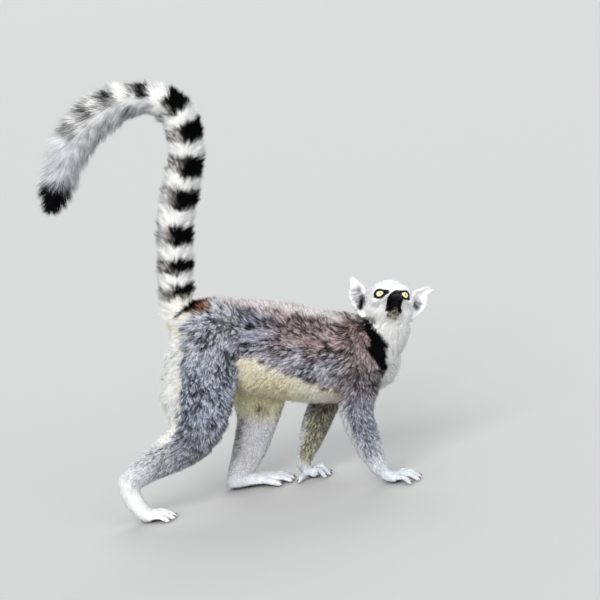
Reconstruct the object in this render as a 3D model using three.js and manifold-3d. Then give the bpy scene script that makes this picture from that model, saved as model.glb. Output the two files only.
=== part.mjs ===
// Ring-tailed lemur, life size, walking on all fours with its tail raised and its head turned and lifted.
// Millimetres, +X to the animal's front, +Y to its left, +Z up, floor at z = 0.
// Every solid is the outline of the coat. A limb, tail or spine is a tube: a row of named joints, each with
// its half depth, half width and place, swept smoothly and closed by round ends. The torso, neck and head
// are one blended surface, found along rays from an axis inside them, and parted by thin plane cuts.
import * as THREE from "three";
import { mergeVertices } from "three/addons/utils/BufferGeometryUtils.js";
import Module from "manifold-3d";

const wasm = await Module();
wasm.setup();

// ---- driving sizes -------------------------------------------------------
const GAP = 0.4; // clear space between neighbouring pieces
const ORIGIN = [-75.2, -3.5]; // middle of the animal's box on the floor, before the shift to the origin
const EYE_R = 8.9;
const HEAD_AT = [130.8, -15.0, 259.3];
const HEAD_FRONT = [0.1846, -0.7953, 0.5774]; // where the face points
const HEAD_LEFT = [0.9772, 0.0853, -0.1949];
const EYES = { right: [19.5, -18.6, 4.5], left: [19.5, 18.6, 4.5] }; // head frame: front, left, up

// joint: [x, y, z, half depth, half width]
const SPINE = {
  seat: [-174.7, 0, 259.3, 50, 44],
  rump: [-154.8, 0, 253, 62, 50],
  hips: [-124.3, 0, 237.4, 71, 55],
  loin: [-84.5, 0, 223.3, 74.5, 57],
  waist: [-41.2, 0, 211.7, 75.5, 58],
  ribs: [1.7, 0, 197.1, 74, 58],
  chest: [39.2, 0, 186.5, 69, 55],
  shoulders: [67.9, -1, 177.4, 58, 50],
  breast: [93.9, -2, 170.3, 40, 40],
};
const NECK = {
  withers: [65.2, 0, 199.1, 50, 44],
  base: [92.2, -3, 200, 47, 42],
  middle: [113, -7, 209.7, 40.5, 38],
  throat: [123, -11, 228.7, 35.5, 35.5],
  nape: [128, -14, 248.2, 32, 33],
};
const TAIL = {
  root: [-157.2, 0, 274.8, 17, 17],
  root_top: [-168.4, 0, 288.8, 23, 22],
  a1: [-175.9, 0, 306.7, 26.5, 26],
  a2: [-177.3, 0, 329.7, 28, 28],
  a3: [-174.3, 0, 356.5, 28.5, 28.5],
  a4: [-170.2, 0, 386, 28.5, 28.5],
  b1: [-165.3, 0, 415.3, 29, 29],
  b2: [-156.4, 0, 446.9, 29.5, 29.5],
  b3: [-145.3, 0, 478, 29, 29],
  b4: [-135.2, 0, 507.6, 28.5, 28.5],
  c1: [-128.5, 0, 534.8, 28.5, 28.5],
  c2: [-129, 0, 563, 29, 29],
  c3: [-138.1, 0, 588, 29, 29],
  c4: [-155.1, 0, 605.4, 27.5, 27.5],
  d1: [-178.3, 0, 612, 25.5, 26],
  d2: [-206.1, 0, 612.8, 26, 26.5],
  d3: [-236.4, 0, 603.6, 27, 27.5],
  d4: [-264.2, 0, 587.4, 27.5, 28],
  e1: [-286.9, -2, 566.1, 26.5, 27],
  e2: [-304.2, -4, 542.4, 24, 25],
  e3: [-317.2, -6, 518, 20.5, 21],
  e4: [-328.2, -8, 496.2, 15, 15],
  tip: [-337.9, -9, 478.5, 8.5, 8.5],
};
const LEGS = {
  hind_leg_right: {
    pelvis: [-126, -17, 276, 35, 22],
    hip: [-135.7, -29, 256.5, 49, 30],
    thigh: [-155.6, -38.5, 216.1, 55, 32],
    thigh_low: [-168.3, -47, 174.2, 53.5, 31],
    knee: [-173.3, -54, 142.9, 46, 29],
    calf: [-187.8, -60, 117.3, 37, 26],
    shank: [-220.7, -60, 98.2, 30.5, 22],
    shank_low: [-252.7, -58, 84.6, 24, 18],
    ankle: [-277.4, -56, 71.2, 19.5, 15],
    heel: [-287.5, -55, 64, 17, 13.5],
  },
  hind_leg_left: {
    pelvis: [-114, 18, 252, 36, 22],
    hip: [-105.4, 30, 224.6, 50, 30],
    thigh: [-89.2, 40, 173.5, 50, 31],
    knee: [-83.1, 48, 134.9, 40, 29],
    calf: [-91.1, 54, 103.8, 32, 25],
    shank: [-103.5, 55, 74, 29, 22],
    shank_low: [-116.9, 54, 47.9, 24.5, 18],
    ankle: [-129.4, 53, 28, 20, 15],
    heel: [-135.4, 52, 19.7, 16.5, 13],
  },
  foreleg_right: {
    blade: [82.5, -26, 221, 31, 25],
    shoulder: [82.6, -31, 208.1, 36, 27],
    upper_arm: [74.3, -41, 176.4, 34, 27],
    arm_low: [64.6, -50, 144.5, 30, 25],
    elbow: [56.4, -55, 120.9, 26.5, 22],
    forearm: [58.6, -56, 96.1, 24.5, 20],
    forearm_mid: [64.2, -54, 68.7, 22, 17.5],
    forearm_low: [70.6, -52, 45.7, 18, 14.5],
    wrist: [75.2, -51, 30.9, 14, 12],
  },
  foreleg_left: {
    blade: [68, 27, 203, 31, 25],
    shoulder: [59.5, 31, 189.8, 36, 27],
    upper_arm: [33.8, 41, 148.4, 31, 26],
    arm_low: [11.3, 50, 110, 24, 22],
    elbow: [-3.5, 53, 83.5, 22.5, 20],
    forearm: [-15.6, 52, 60.5, 19, 16],
    forearm_low: [-25.4, 51, 41.7, 15, 13],
    wrist: [-32.6, 50, 25.7, 11, 10],
  },
};
// The sole or palm of each limb, then its five digits from the inside out. digit: base, knuckle, tip as
// [x, y, z, radius]. Each digit's nail is the narrow cone at its tip.
const PAWS = {
  foot_right: {
    leg: "hind_leg_right",
    palm: {
      heel: [-291.5, -55, 62, 15, 13],
      instep: [-291, -55, 45, 15, 13],
      arch: [-285, -55, 28, 13.5, 14],
      ball: [-273.5, -55, 11, 12, 15.5],
      toe_line: [-263, -55, 8, 9, 15],
    },
    digits: [
      [[-279, -44, 13, 6.6], [-267, -35, 8, 6], [-257, -28.5, 4.2, 5]],
      [[-266, -46.5, 9, 5.4], [-252, -43.5, 9.5, 4.9], [-240, -42, 3.5, 4.3]],
      [[-264, -52.3, 9.5, 5.6], [-248, -52, 10, 5.1], [-234, -53, 3.6, 4.4]],
      [[-265, -58.7, 9, 5.6], [-249, -62, 9.8, 5.1], [-236, -65, 3.6, 4.4]],
      [[-268, -65, 8, 5.2], [-254, -71, 8.5, 4.7], [-243, -76.5, 3.3, 4.1]],
    ],
  },
  foot_left: {
    leg: "hind_leg_left",
    palm: {
      heel: [-143, 52, 13, 14, 12.5],
      instep: [-123, 52, 11.7, 12.5, 13],
      arch: [-103, 53, 9.8, 11, 14.5],
      ball: [-88, 54, 8.4, 9.6, 15.5],
      toe_line: [-82, 54, 7.4, 8.4, 14.5],
    },
    digits: [
      [[-99, 42, 10, 6.6], [-86, 33, 7.8, 6], [-75, 27, 4.2, 5]],
      [[-86, 45.5, 8.6, 5.4], [-70.5, 42.5, 9.2, 4.9], [-58, 41.5, 3.5, 4.3]],
      [[-83, 51.3, 9, 5.6], [-67, 51, 9.6, 5.1], [-53.5, 51.5, 3.6, 4.4]],
      [[-83, 57.7, 9, 5.6], [-67, 60, 9.4, 5.1], [-54.5, 62.5, 3.6, 4.4]],
      [[-87, 64, 8, 5.2], [-73, 69, 8.3, 4.7], [-62, 73, 3.3, 4.1]],
    ],
  },
  hand_right: {
    leg: "foreleg_right",
    palm: {
      wrist: [77, -51, 27, 12.5, 11.5],
      heel: [83, -51, 16.5, 11, 12.5],
      palm: [92.5, -51.5, 8.8, 9.5, 13.5],
      knuckles: [101, -52, 7.2, 8, 13.5],
    },
    digits: [
      [[89, -42, 11, 5.4], [98, -35, 8, 4.9], [107, -30.5, 3.4, 4.2]],
      [[101, -45, 9, 5], [115, -40.5, 10.8, 4.5], [126.5, -37, 3.2, 4]],
      [[103.5, -51, 9.4, 5.1], [119.5, -50, 11.6, 4.6], [132.5, -49, 3.3, 4.1]],
      [[102.5, -57, 9, 5], [117.5, -61, 11, 4.6], [129.5, -65.5, 3.3, 4.1]],
      [[98.5, -62, 8.4, 4.8], [109.5, -70.5, 9.4, 4.3], [117.5, -79.5, 3.1, 3.9]],
    ],
  },
  hand_left: {
    leg: "foreleg_left",
    palm: {
      wrist: [-33.5, 50, 22.5, 10, 10],
      heel: [-31, 50.3, 16.5, 10, 11],
      palm: [-24, 51, 7.8, 9, 12.5],
      knuckles: [-17, 52, 7.2, 8, 12.5],
    },
    digits: [
      [[-31.5, 42.5, 10, 5.2], [-37.5, 35, 8, 4.7], [-43.5, 28.5, 3.3, 4.1]],
      [[-20.5, 45, 9.6, 4.8], [-12, 39.5, 13, 4.4], [-4.5, 35, 3.2, 4]],
      [[-17.5, 50.2, 10, 4.9], [-7.5, 47.8, 15, 4.5], [2, 45.8, 3.3, 4.1]],
      [[-17.5, 56.3, 10, 4.9], [-7.5, 56.6, 15, 4.5], [3, 57.2, 3.3, 4.1]],
      [[-20.5, 61.5, 9, 4.7], [-12, 65.5, 12, 4.3], [-4, 69, 3.1, 3.9]],
    ],
  },
};
// Head frame: [front, left, up, half length, half width, half height]
const HEAD_BALLS = {
  cranium: [-5, 0, 8, 33, 33, 29],
  brow: [10, 0, 13, 19, 24, 17],
  cheek_right: [1, -20, -9, 20, 15, 17],
  cheek_left: [1, 20, -9, 20, 15, 17],
  orbit_right: [15, -16.2, 4.5, 12.5, 11.5, 12.5],
  orbit_left: [15, 16.2, 4.5, 12.5, 11.5, 12.5],
};
const MUZZLE = {
  root: [14, 0, -5, 17, 17],
  bridge: [27, 0, -8.5, 14.2, 14],
  lips: [37, 0, -11, 12.2, 12.8],
  nostrils: [45.5, 0, -11, 10, 10.6],
  nose: [50.5, 0, -9.8, 7, 7.6],
};
const JAW = {
  hinge: [4, 0, -20, 9, 16],
  chin: [24, 0, -22.5, 7.2, 11.5],
  lip: [38.5, 0, -21, 5.6, 7.6],
};
// Ears, head frame: foot, where the tip points, where the cup opens, length, half width
const EARS = {
  ear_right: { foot: [-8, -34, -5], tip: [0.1, -0.26, 0.96], open: [0.84, -0.52, -0.1], long: 57, wide: 15 },
  ear_left: { foot: [-8, 32, -5], tip: [0.1, 0.66, 0.78], open: [0.86, 0.4, -0.4], long: 50, wide: 15 },
};

// ---- small vector helpers ------------------------------------------------
const V = (x, y, z) => new THREE.Vector3(x, y, z);
const of = (a) => V(a[0], a[1], a[2]);
const FRONT = of(HEAD_FRONT).normalize();
const LEFT = of(HEAD_LEFT).addScaledVector(FRONT, -of(HEAD_LEFT).dot(FRONT)).normalize();
const UP = FRONT.clone().cross(LEFT).normalize();
const HEAD = new THREE.Matrix4().makeBasis(FRONT, LEFT, UP).setPosition(of(HEAD_AT));
const headPoint = (a) => of(a).applyMatrix4(HEAD);
const headWay = (a) => of(a).transformDirection(HEAD);

// Joints, as [x, y, z, a, b], made smooth by a Catmull-Rom curve through places and sizes alike.
function smoothed(joints, per, place = of) {
  const rows = Object.values(joints);
  const at = new THREE.CatmullRomCurve3(rows.map(place), false, "centripetal");
  const size = new THREE.CatmullRomCurve3(rows.map((r) => V(r[3], r[4], 0)), false, "catmullrom", 0.5);
  const n = (rows.length - 1) * per;
  const list = [];
  for (let i = 0; i <= n; i++) {
    const s = size.getPoint(i / n);
    list.push({ p: at.getPoint(i / n), t: at.getTangent(i / n), a: s.x, b: s.y });
  }
  return list;
}
// The cross-section's frame at a joint: side lies near the given way, depth completes it.
function framed(list, side) {
  for (const k of list) {
    k.s = side.clone().addScaledVector(k.t, -side.dot(k.t)).normalize();
    k.n = k.t.clone().cross(k.s).normalize();
  }
  return list;
}

// ---- distance fields of the torso, neck and head -------------------------
function tubeField(list) {
  return (p) => {
    let best = 1e9;
    for (let i = 0; i + 1 < list.length; i++) {
      const A = list[i],
        B = list[i + 1];
      const dx = B.p.x - A.p.x, dy = B.p.y - A.p.y, dz = B.p.z - A.p.z;
      let u = ((p.x - A.p.x) * dx + (p.y - A.p.y) * dy + (p.z - A.p.z) * dz) / (dx * dx + dy * dy + dz * dz);
      u = Math.min(1, Math.max(0, u));
      const vx = p.x - A.p.x - u * dx, vy = p.y - A.p.y - u * dy, vz = p.z - A.p.z - u * dz;
      const mix = (k, c) => A[k][c] + u * (B[k][c] - A[k][c]);
      const along = vx * mix("t", "x") + vy * mix("t", "y") + vz * mix("t", "z");
      const deep = vx * mix("n", "x") + vy * mix("n", "y") + vz * mix("n", "z");
      const wide = vx * mix("s", "x") + vy * mix("s", "y") + vz * mix("s", "z");
      const a = A.a + u * (B.a - A.a), b = A.b + u * (B.b - A.b), c = (a + b) / 2;
      const k = Math.sqrt((deep / a) ** 2 + (wide / b) ** 2 + (along / c) ** 2) + 1e-6;
      const v = Math.sqrt(vx * vx + vy * vy + vz * vz);
      best = Math.min(best, v - v / k + (k < 0.05 ? -Math.min(a, b) * (1 - k / 0.05) : 0));
    }
    return best;
  };
}
function ballField([x, y, z, rx, ry, rz]) {
  const back = HEAD.clone().invert();
  const q = new THREE.Vector3();
  return (p) => {
    q.copy(p).applyMatrix4(back);
    const X = q.x - x, Y = q.y - y, Z = q.z - z;
    const v = Math.sqrt(X * X + Y * Y + Z * Z) + 1e-6;
    const k = Math.sqrt((X / rx) ** 2 + (Y / ry) ** 2 + (Z / rz) ** 2) + 1e-6;
    return v - v / k;
  };
}
const blend = (a, b, k) => {
  const h = Math.max(k - Math.abs(a - b), 0) / k;
  return Math.min(a, b) - (h * h * k) / 4;
};
const Y_SIDE = V(0, 1, 0);
const spineField = tubeField(framed(smoothed(SPINE, 3), Y_SIDE));
const neckField = tubeField(framed(smoothed(NECK, 3), Y_SIDE));
const muzzleField = tubeField(framed(smoothed(MUZZLE, 3, headPoint), LEFT));
const jawField = tubeField(framed(smoothed(JAW, 3, headPoint), LEFT));
const ballFields = Object.values(HEAD_BALLS).map(ballField);
function headField(p) {
  let d = ballFields[0](p);
  for (const f of ballFields.slice(1)) d = blend(d, f(p), 8);
  return blend(blend(d, muzzleField(p), 9), jawField(p), 6);
}
const bodyField = (p) => blend(blend(spineField(p), neckField(p), 22), headField(p), 12);

// ---- making closed meshes -------------------------------------------------
// Rows of points, each row one ring, closed by a point at either end.
function ringed(first, rows, last) {
  const position = [...first.toArray()];
  rows.forEach((row) => row.forEach((q) => position.push(q.x, q.y, q.z)));
  position.push(...last.toArray());
  const n = rows[0].length,
    m = rows.length,
    end = 1 + n * m;
  const index = [];
  for (let j = 0; j < n; j++) {
    const k = (j + 1) % n;
    index.push(0, 1 + j, 1 + k, end, 1 + (m - 1) * n + k, 1 + (m - 1) * n + j);
    for (let i = 0; i + 1 < m; i++) {
      const a = 1 + i * n + j, b = 1 + i * n + k, c = a + n, d = b + n;
      index.push(a, c, b, b, c, d);
    }
  }
  return new THREE.BufferGeometry()
    .setAttribute("position", new THREE.BufferAttribute(new Float32Array(position), 3))
    .setIndex(index);
}
// A tube of elliptical rings through the joints. An end is rounded by the given share of its radius, or, at
// a share of 0, flat and drawn back by half the gap.
function tubeGeometry(list, sides, { grow = 0, start = 0.8, end = 0.8, steps = 2 } = {}) {
  const ring = (k, share, shift) => {
    const row = [];
    for (let j = 0; j < sides; j++) {
      const h = (2 * Math.PI * j) / sides;
      row.push(
        k.p.clone().addScaledVector(k.t, shift)
          .addScaledVector(k.n, (k.a + grow) * share * Math.cos(h))
          .addScaledVector(k.s, (k.b + grow) * share * Math.sin(h)),
      );
    }
    return row;
  };
  const rows = [];
  const A = list[0], B = list[list.length - 1];
  const reach = (k, round) => (round ? ((k.a + k.b) / 2 + grow) * round : -GAP / 2);
  const far = { A: reach(A, start), B: reach(B, end) };
  if (start)
    for (let i = steps; i > 0; i--) {
      const h = (Math.PI / 2) * (i / (steps + 1));
      rows.push(ring(A, Math.cos(h), -far.A * Math.sin(h)));
    }
  list.forEach((k, i) => {
    if (i === 0 && !start) rows.push(ring(k, 1, GAP / 2));
    else if (i === list.length - 1 && !end) rows.push(ring(k, 1, -GAP / 2));
    else rows.push(ring(k, 1, 0));
  });
  if (end)
    for (let i = 1; i <= steps; i++) {
      const h = (Math.PI / 2) * (i / (steps + 1));
      rows.push(ring(B, Math.cos(h), far.B * Math.sin(h)));
    }
  return ringed(A.p.clone().addScaledVector(A.t, -far.A), rows, B.p.clone().addScaledVector(B.t, far.B));
}
// The surface of a field, met by rays that leave an axis square to it and fan round both its ends.
function rayGeometry(field, axis, side, rings, sides, most, fan) {
  const curve = new THREE.CatmullRomCurve3(axis, false, "centripetal");
  const meet = (from, way) => {
    let lo = 0, hi = most, step = most / 24;
    for (let r = step; r < most; r += step)
      if (field(from.clone().addScaledVector(way, r)) > 0) { hi = r; break; } else lo = r;
    for (let i = 0; i < 12; i++) {
      const r = (lo + hi) / 2;
      if (field(from.clone().addScaledVector(way, r)) > 0) hi = r; else lo = r;
    }
    return from.clone().addScaledVector(way, lo);
  };
  const row = (u, tilt) => {
    const p = curve.getPointAt(u), t = curve.getTangentAt(u);
    const s = side.clone().addScaledVector(t, -side.dot(t)).normalize(), n = t.clone().cross(s);
    const list = [];
    for (let j = 0; j < sides; j++) {
      const h = (2 * Math.PI * j) / sides;
      const way = n.clone().multiplyScalar(Math.cos(h)).addScaledVector(s, Math.sin(h));
      list.push(meet(p, way.multiplyScalar(Math.cos(tilt)).addScaledVector(t, Math.sin(tilt)).normalize()));
    }
    return list;
  };
  const rows = [];
  for (let i = fan; i > 0; i--) rows.push(row(0, (-Math.PI / 2) * (i / (fan + 1))));
  for (let i = 0; i <= rings; i++) rows.push(row(i / rings, 0));
  for (let i = 1; i <= fan; i++) rows.push(row(1, (Math.PI / 2) * (i / (fan + 1))));
  return ringed(
    meet(curve.getPointAt(0), curve.getTangentAt(0).negate()), rows,
    meet(curve.getPointAt(1), curve.getTangentAt(1)),
  );
}
function solid(geometry) {
  const bare = new THREE.BufferGeometry().setAttribute("position", geometry.getAttribute("position"));
  if (geometry.index) bare.setIndex(geometry.index);
  const g = mergeVertices(bare, 1e-4);
  return new wasm.Manifold(
    new wasm.Mesh({
      numProp: 3,
      vertProperties: new Float32Array(g.attributes.position.array),
      triVerts: new Uint32Array(g.index.array),
    }),
  );
}
// A slab of half-space: everything within reach of a point on the given side of a plane through it.
function beyond(at, way, reach = 900) {
  const w = way.clone().normalize();
  const box = new THREE.BoxGeometry(reach, reach, reach);
  const turn = new THREE.Quaternion().setFromUnitVectors(V(1, 0, 0), w);
  box.applyMatrix4(
    new THREE.Matrix4().makeRotationFromQuaternion(turn).setPosition(at.clone().addScaledVector(w, reach / 2)),
  );
  return solid(box);
}
const onFloor = (s) => s.intersect(beyond(V(-100, 0, 0), V(0, 0, 1), 1400));
// Parts one solid at a plane: [behind it, ahead of it], with the gap between.
function parted(s, at, way) {
  const w = way.clone().normalize();
  return [
    s.intersect(beyond(at.clone().addScaledVector(w, -GAP / 2), w.clone().negate(), 1400)),
    s.intersect(beyond(at.clone().addScaledVector(w, GAP / 2), w, 1400)),
  ];
}

// ---- torso, neck and head -------------------------------------------------
// The axis leaves the spine and turns up the neck on an arc wide enough that its square rays never cross.
const BEND = { x: 73, z: 265, r: 65 };
const bend = (deg, y) =>
  V(BEND.x + BEND.r * Math.sin((deg * Math.PI) / 180), y, BEND.z - BEND.r * Math.cos((deg * Math.PI) / 180));
const BODY_AXIS = [
  V(-160, 0, 254), V(-110, 0, 232), V(-60, 0, 214), V(-10, 0, 202), V(34, 0, 197),
  bend(0, -1), bend(20, -2), bend(40, -5), bend(60, -9), bend(78, -13),
];
const HEAD_AXIS = [[-14, 0, 5], [4, 0, 0], [24, 0, -9], [44, 0, -12]].map(headPoint);
const NECK_CUT = { at: V(84, -2, 198), way: V(0.87, -0.05, 0.49) };
const HEAD_CUT = { at: headPoint([-6, 0, -19]), way: headWay([0.42, 0, 0.91]) };
const NOSE_CUT = { at: headPoint([48.4, 0, -10]), way: headWay([0.96, 0, 0.28]) };

const bodyAll = solid(rayGeometry(bodyField, BODY_AXIS, Y_SIDE, 22, 22, 130, 3));
const bodyFat = solid(rayGeometry((p) => bodyField(p) - GAP, BODY_AXIS, Y_SIDE, 22, 22, 130, 3));
const [trunk, upper] = parted(bodyAll, NECK_CUT.at, NECK_CUT.way);
const neck = parted(upper, HEAD_CUT.at, HEAD_CUT.way)[0];
const faceField = (p) => blend(headField(p), neckField(p), 12);
const headAll = solid(rayGeometry(faceField, HEAD_AXIS, LEFT, 13, 22, 62, 4));
const headFat = solid(rayGeometry((p) => faceField(p) - GAP, HEAD_AXIS, LEFT, 13, 22, 62, 4));
let [headBack, nose] = parted(parted(headAll, HEAD_CUT.at, HEAD_CUT.way)[1], NOSE_CUT.at, NOSE_CUT.way);

const ballAt = (r, at, detail = 2) => solid(new THREE.IcosahedronGeometry(r, detail).translate(at.x, at.y, at.z));
const eyes = {};
for (const [name, at] of Object.entries(EYES)) {
  eyes["eye_" + name] = ballAt(EYE_R, headPoint(at));
  headBack = headBack.subtract(ballAt(EYE_R + GAP * 2, headPoint(at)));
}

// ---- ears -----------------------------------------------------------------
// A leaf: an egg along the ear, hollowed by a smaller egg from its open side, with a furred point.
const ears = {};
for (const [name, e] of Object.entries(EARS)) {
  const tip = headWay(e.tip).normalize();
  const open = headWay(e.open);
  open.addScaledVector(tip, -open.dot(tip)).normalize();
  const side = tip.clone().cross(open).normalize();
  const foot = headPoint(e.foot);
  const egg = (along, out, rl, ro, rs, detail) =>
    solid(
      new THREE.SphereGeometry(1, detail, Math.round(detail * 0.7)).applyMatrix4(
        new THREE.Matrix4()
          .makeBasis(tip, open, side)
          .scale(V(rl, ro, rs))
          .setPosition(foot.clone().addScaledVector(tip, along).addScaledVector(open, out)),
      ),
    );
  const point = framed(
    [
      { p: foot.clone().addScaledVector(tip, e.long * 0.45), t: tip, a: e.wide * 0.4, b: e.wide * 0.74 },
      { p: foot.clone().addScaledVector(tip, e.long * 0.7), t: tip, a: e.wide * 0.32, b: e.wide * 0.5 },
      { p: foot.clone().addScaledVector(tip, e.long * 0.9), t: tip, a: e.wide * 0.2, b: e.wide * 0.26 },
    ],
    side,
  );
  const leaf = egg(e.long * 0.3, 0, e.long * 0.52, e.wide * 0.52, e.wide, 12).add(solid(tubeGeometry(point, 8, { steps: 1 })));
  const cup = egg(e.long * 0.28, e.wide * 0.62, e.long * 0.44, e.wide * 0.62, e.wide * 0.74, 10);
  ears[name] = leaf.subtract(cup).subtract(headFat);
}

// ---- tail -----------------------------------------------------------------
const TAIL_CUTS = ["a4", "b4", "c4", "d4", "e2"];
const tailRows = framed(smoothed(TAIL, 2), Y_SIDE);
const tailKeys = Object.keys(TAIL);
const tailParts = [];
const tailRootFat = solid(tubeGeometry(tailRows.slice(0, 9), 12, { grow: GAP }));
{
  let from = 0;
  TAIL_CUTS.concat(["tip"]).forEach((key) => {
    const to = tailKeys.indexOf(key) * 2;
    const piece = solid(
      tubeGeometry(tailRows.slice(from, to + 1), 12, { start: from ? 0 : 0.8, end: key === "tip" ? 0.9 : 0 }),
    );
    tailParts.push(from ? piece : piece.subtract(bodyFat));
    from = to;
  });
}

// ---- legs, hands and feet ---------------------------------------------------
const digitList = (d, side) =>
  framed(
    smoothed({ base: [...d[0], d[0][3]], knuckle: [...d[1], d[1][3]], tip: [...d[2], d[2][3]] }, 1),
    side,
  );
const nodes = {};
const WRIST_CUT = {
  foot_right: { at: V(-290, -55, 55), way: V(-0.1, 0, -1) },
  foot_left: { at: V(-136, 52, 23.5), way: V(-0.25, 0, -1) },
  hand_right: { at: V(78, -51, 27), way: V(0.45, 0, -1) },
  hand_left: { at: V(-33, 50, 22), way: V(0.1, 0, -1) },
};
const paws = {};
for (const [name, paw] of Object.entries(PAWS)) {
  let s = solid(tubeGeometry(framed(smoothed(paw.palm, 1), Y_SIDE), 12));
  paw.digits.forEach((d) => {
    const way = of(d[2]).sub(of(d[0])).setZ(0).normalize();
    const side = V(-way.y, way.x, 0);
    const list = digitList(d, side);
    s = s.add(solid(tubeGeometry(list, 6, { steps: 1 })));
    // the nail: a narrow cone on past the tip, bent down to the floor
    const tip = of(d[2]);
    const nail = framed(
      [
        { p: tip.clone().addScaledVector(way, 1).setZ(tip.z + 0.6), t: way, a: d[2][3] * 0.5, b: d[2][3] * 0.55 },
        { p: tip.clone().addScaledVector(way, d[2][3] + 3.2).setZ(tip.z - 1.4), t: way, a: 0.7, b: 0.9 },
      ],
      side,
    );
    s = s.add(solid(tubeGeometry(nail, 4, { steps: 0, start: 0.6, end: 0.6 })));
  });
  paws[name] = s;
}
for (const [name, joints] of Object.entries(LEGS)) {
  const list = framed(smoothed(joints, 2), Y_SIDE);
  const pawName = Object.keys(PAWS).find((k) => PAWS[k].leg === name);
  const cut = WRIST_CUT[pawName];
  const whole = solid(tubeGeometry(list, 12)).subtract(bodyFat).subtract(tailRootFat);
  const leg = parted(whole, cut.at, cut.way)[0];
  const paw = parted(onFloor(paws[pawName]), cut.at, cut.way)[1];
  nodes[name] = leg;
  nodes[pawName] = paw;
}

// ---- the finished nodes -------------------------------------------------------
const LOOK = {
  trunk: ["#8d8684", 0.95], neck: ["#e6e4de", 0.95], head: ["#eceae6", 0.95], nose: ["#141416", 0.45],
  eye: ["#e9dfa6", 0.12], ear: ["#e8e6e2", 0.95], tail: ["#b9b9bb", 0.95], leg: ["#9b9ba2", 0.95], paw: ["#d9d8d8", 0.9],
};
const root = new THREE.Group();
function add(name, s, look) {
  const m = s.getMesh();
  const position = new Float32Array(m.numVert * 3);
  for (let i = 0; i < m.numVert; i++)
    for (let k = 0; k < 3; k++)
      position[i * 3 + k] = m.vertProperties[i * m.numProp + k] - (ORIGIN[k] ?? 0);
  const g = new THREE.BufferGeometry()
    .setAttribute("position", new THREE.BufferAttribute(position, 3))
    .setIndex(new THREE.BufferAttribute(m.triVerts, 1));
  g.computeVertexNormals();
  const [color, roughness] = LOOK[look];
  const mesh = new THREE.Mesh(g, new THREE.MeshStandardMaterial({ color, roughness, metalness: 0 }));
  mesh.name = name;
  root.add(mesh);
}
add("trunk", trunk, "trunk");
add("neck", neck, "neck");
add("head", headBack, "head");
add("nose", nose, "nose");
for (const [name, s] of Object.entries(eyes)) add(name, s, "eye");
for (const [name, s] of Object.entries(ears)) add(name, s, "ear");
tailParts.forEach((s, i) => add("tail_" + (i + 1), s, "tail"));
for (const [name, s] of Object.entries(nodes)) add(name, s, name.includes("leg") ? "leg" : "paw");

export default root;
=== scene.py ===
"""Ring-tailed lemur, life size: one skin, a coat of tapered locks, eyes, nails and whiskers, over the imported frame.
Lengths are millimetres in the animal's own frame (+X to its front, +Y to its left, +Z up) until a mesh is made."""
import bpy
import math
import numpy as np
from mathutils import Matrix, Vector


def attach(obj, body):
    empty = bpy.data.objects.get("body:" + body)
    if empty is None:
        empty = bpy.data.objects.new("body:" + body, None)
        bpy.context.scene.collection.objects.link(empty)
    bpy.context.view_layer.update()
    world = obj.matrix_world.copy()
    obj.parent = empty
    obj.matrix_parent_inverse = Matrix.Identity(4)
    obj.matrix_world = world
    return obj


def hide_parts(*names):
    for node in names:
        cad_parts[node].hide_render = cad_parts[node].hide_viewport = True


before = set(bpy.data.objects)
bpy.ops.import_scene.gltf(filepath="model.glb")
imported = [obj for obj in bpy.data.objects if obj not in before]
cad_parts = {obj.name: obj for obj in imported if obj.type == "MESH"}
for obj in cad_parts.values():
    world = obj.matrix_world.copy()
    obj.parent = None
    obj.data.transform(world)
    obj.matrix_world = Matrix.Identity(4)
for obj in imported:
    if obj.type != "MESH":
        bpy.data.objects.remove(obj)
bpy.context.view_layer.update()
RNG = np.random.default_rng(20)
F32 = np.float32
ORIGIN = np.array([-75.2, -3.5, 0.0])  # middle of the animal's box on the floor
NOISE_TABLE = np.random.default_rng(5).random(65536).astype(F32)

# ------------------------------------------------------------------ sizes
# joint: x, y, z, half depth, half width, depth of the coat
SPINE = [
    (-160.5, 0, 256.5, 46, 42, 11), (-146.5, 0, 249.5, 60, 50, 13), (-124.3, 0, 237.4, 71, 55, 14),
    (-84.5, 0, 223.3, 74.5, 57, 14), (-41.2, 0, 211.7, 75.5, 58, 14), (1.7, 0, 197.1, 74, 58, 14),
    (39.2, 0, 186.5, 69, 55, 13), (67.9, -1, 177.4, 58, 50, 12), (93.9, -2, 170.3, 40, 40, 11),
]
NECK = [
    (65.2, 0, 199.1, 50, 44, 12), (91.5, -3, 201, 44.5, 41, 11), (112, -7, 211, 38.5, 37, 10),
    (123, -11, 228.7, 35.5, 35.5, 8), (128, -14, 248.2, 32, 33, 6),
]
TAIL = [
    (-152.0, 0, 266.0, 18, 18, 5), (-170.0, 0, 283.0, 29, 27, 14), (-177.3, 0, 302.5, 31, 30, 17),
    (-176.6, 0, 329.7, 28, 28, 16), (-174.3, 0, 356.5, 28.5, 28.5, 16.5), (-170.2, 0, 386, 28.5, 28.5, 17),
    (-165.3, 0, 415.3, 29, 29, 17), (-156.4, 0, 446.9, 29.5, 29.5, 17.5), (-145.3, 0, 478, 29, 29, 17.5),
    (-135.2, 0, 507.6, 28.5, 28.5, 17.5), (-128.5, 0, 534.8, 28.5, 28.5, 17.5), (-129, 0, 563, 29, 29, 18),
    (-138.1, 0, 588, 29, 29, 18), (-155.1, 0, 605.4, 27.5, 27.5, 18), (-178.3, 0, 612, 25.5, 26, 18),
    (-206.1, 0, 612.8, 26, 26.5, 18.5), (-236.4, 0, 603.6, 27, 27.5, 19), (-264.2, 0, 587.4, 27.5, 28, 20),
    (-286.9, -2, 566.1, 26.5, 27, 20), (-304.2, -4, 542.4, 24, 25, 19), (-317.2, -6, 518, 20.5, 21, 17),
    (-328.2, -8, 496.2, 15, 15, 12.5), (-337.9, -9, 478.5, 8.5, 8.5, 7.0),
]
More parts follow.
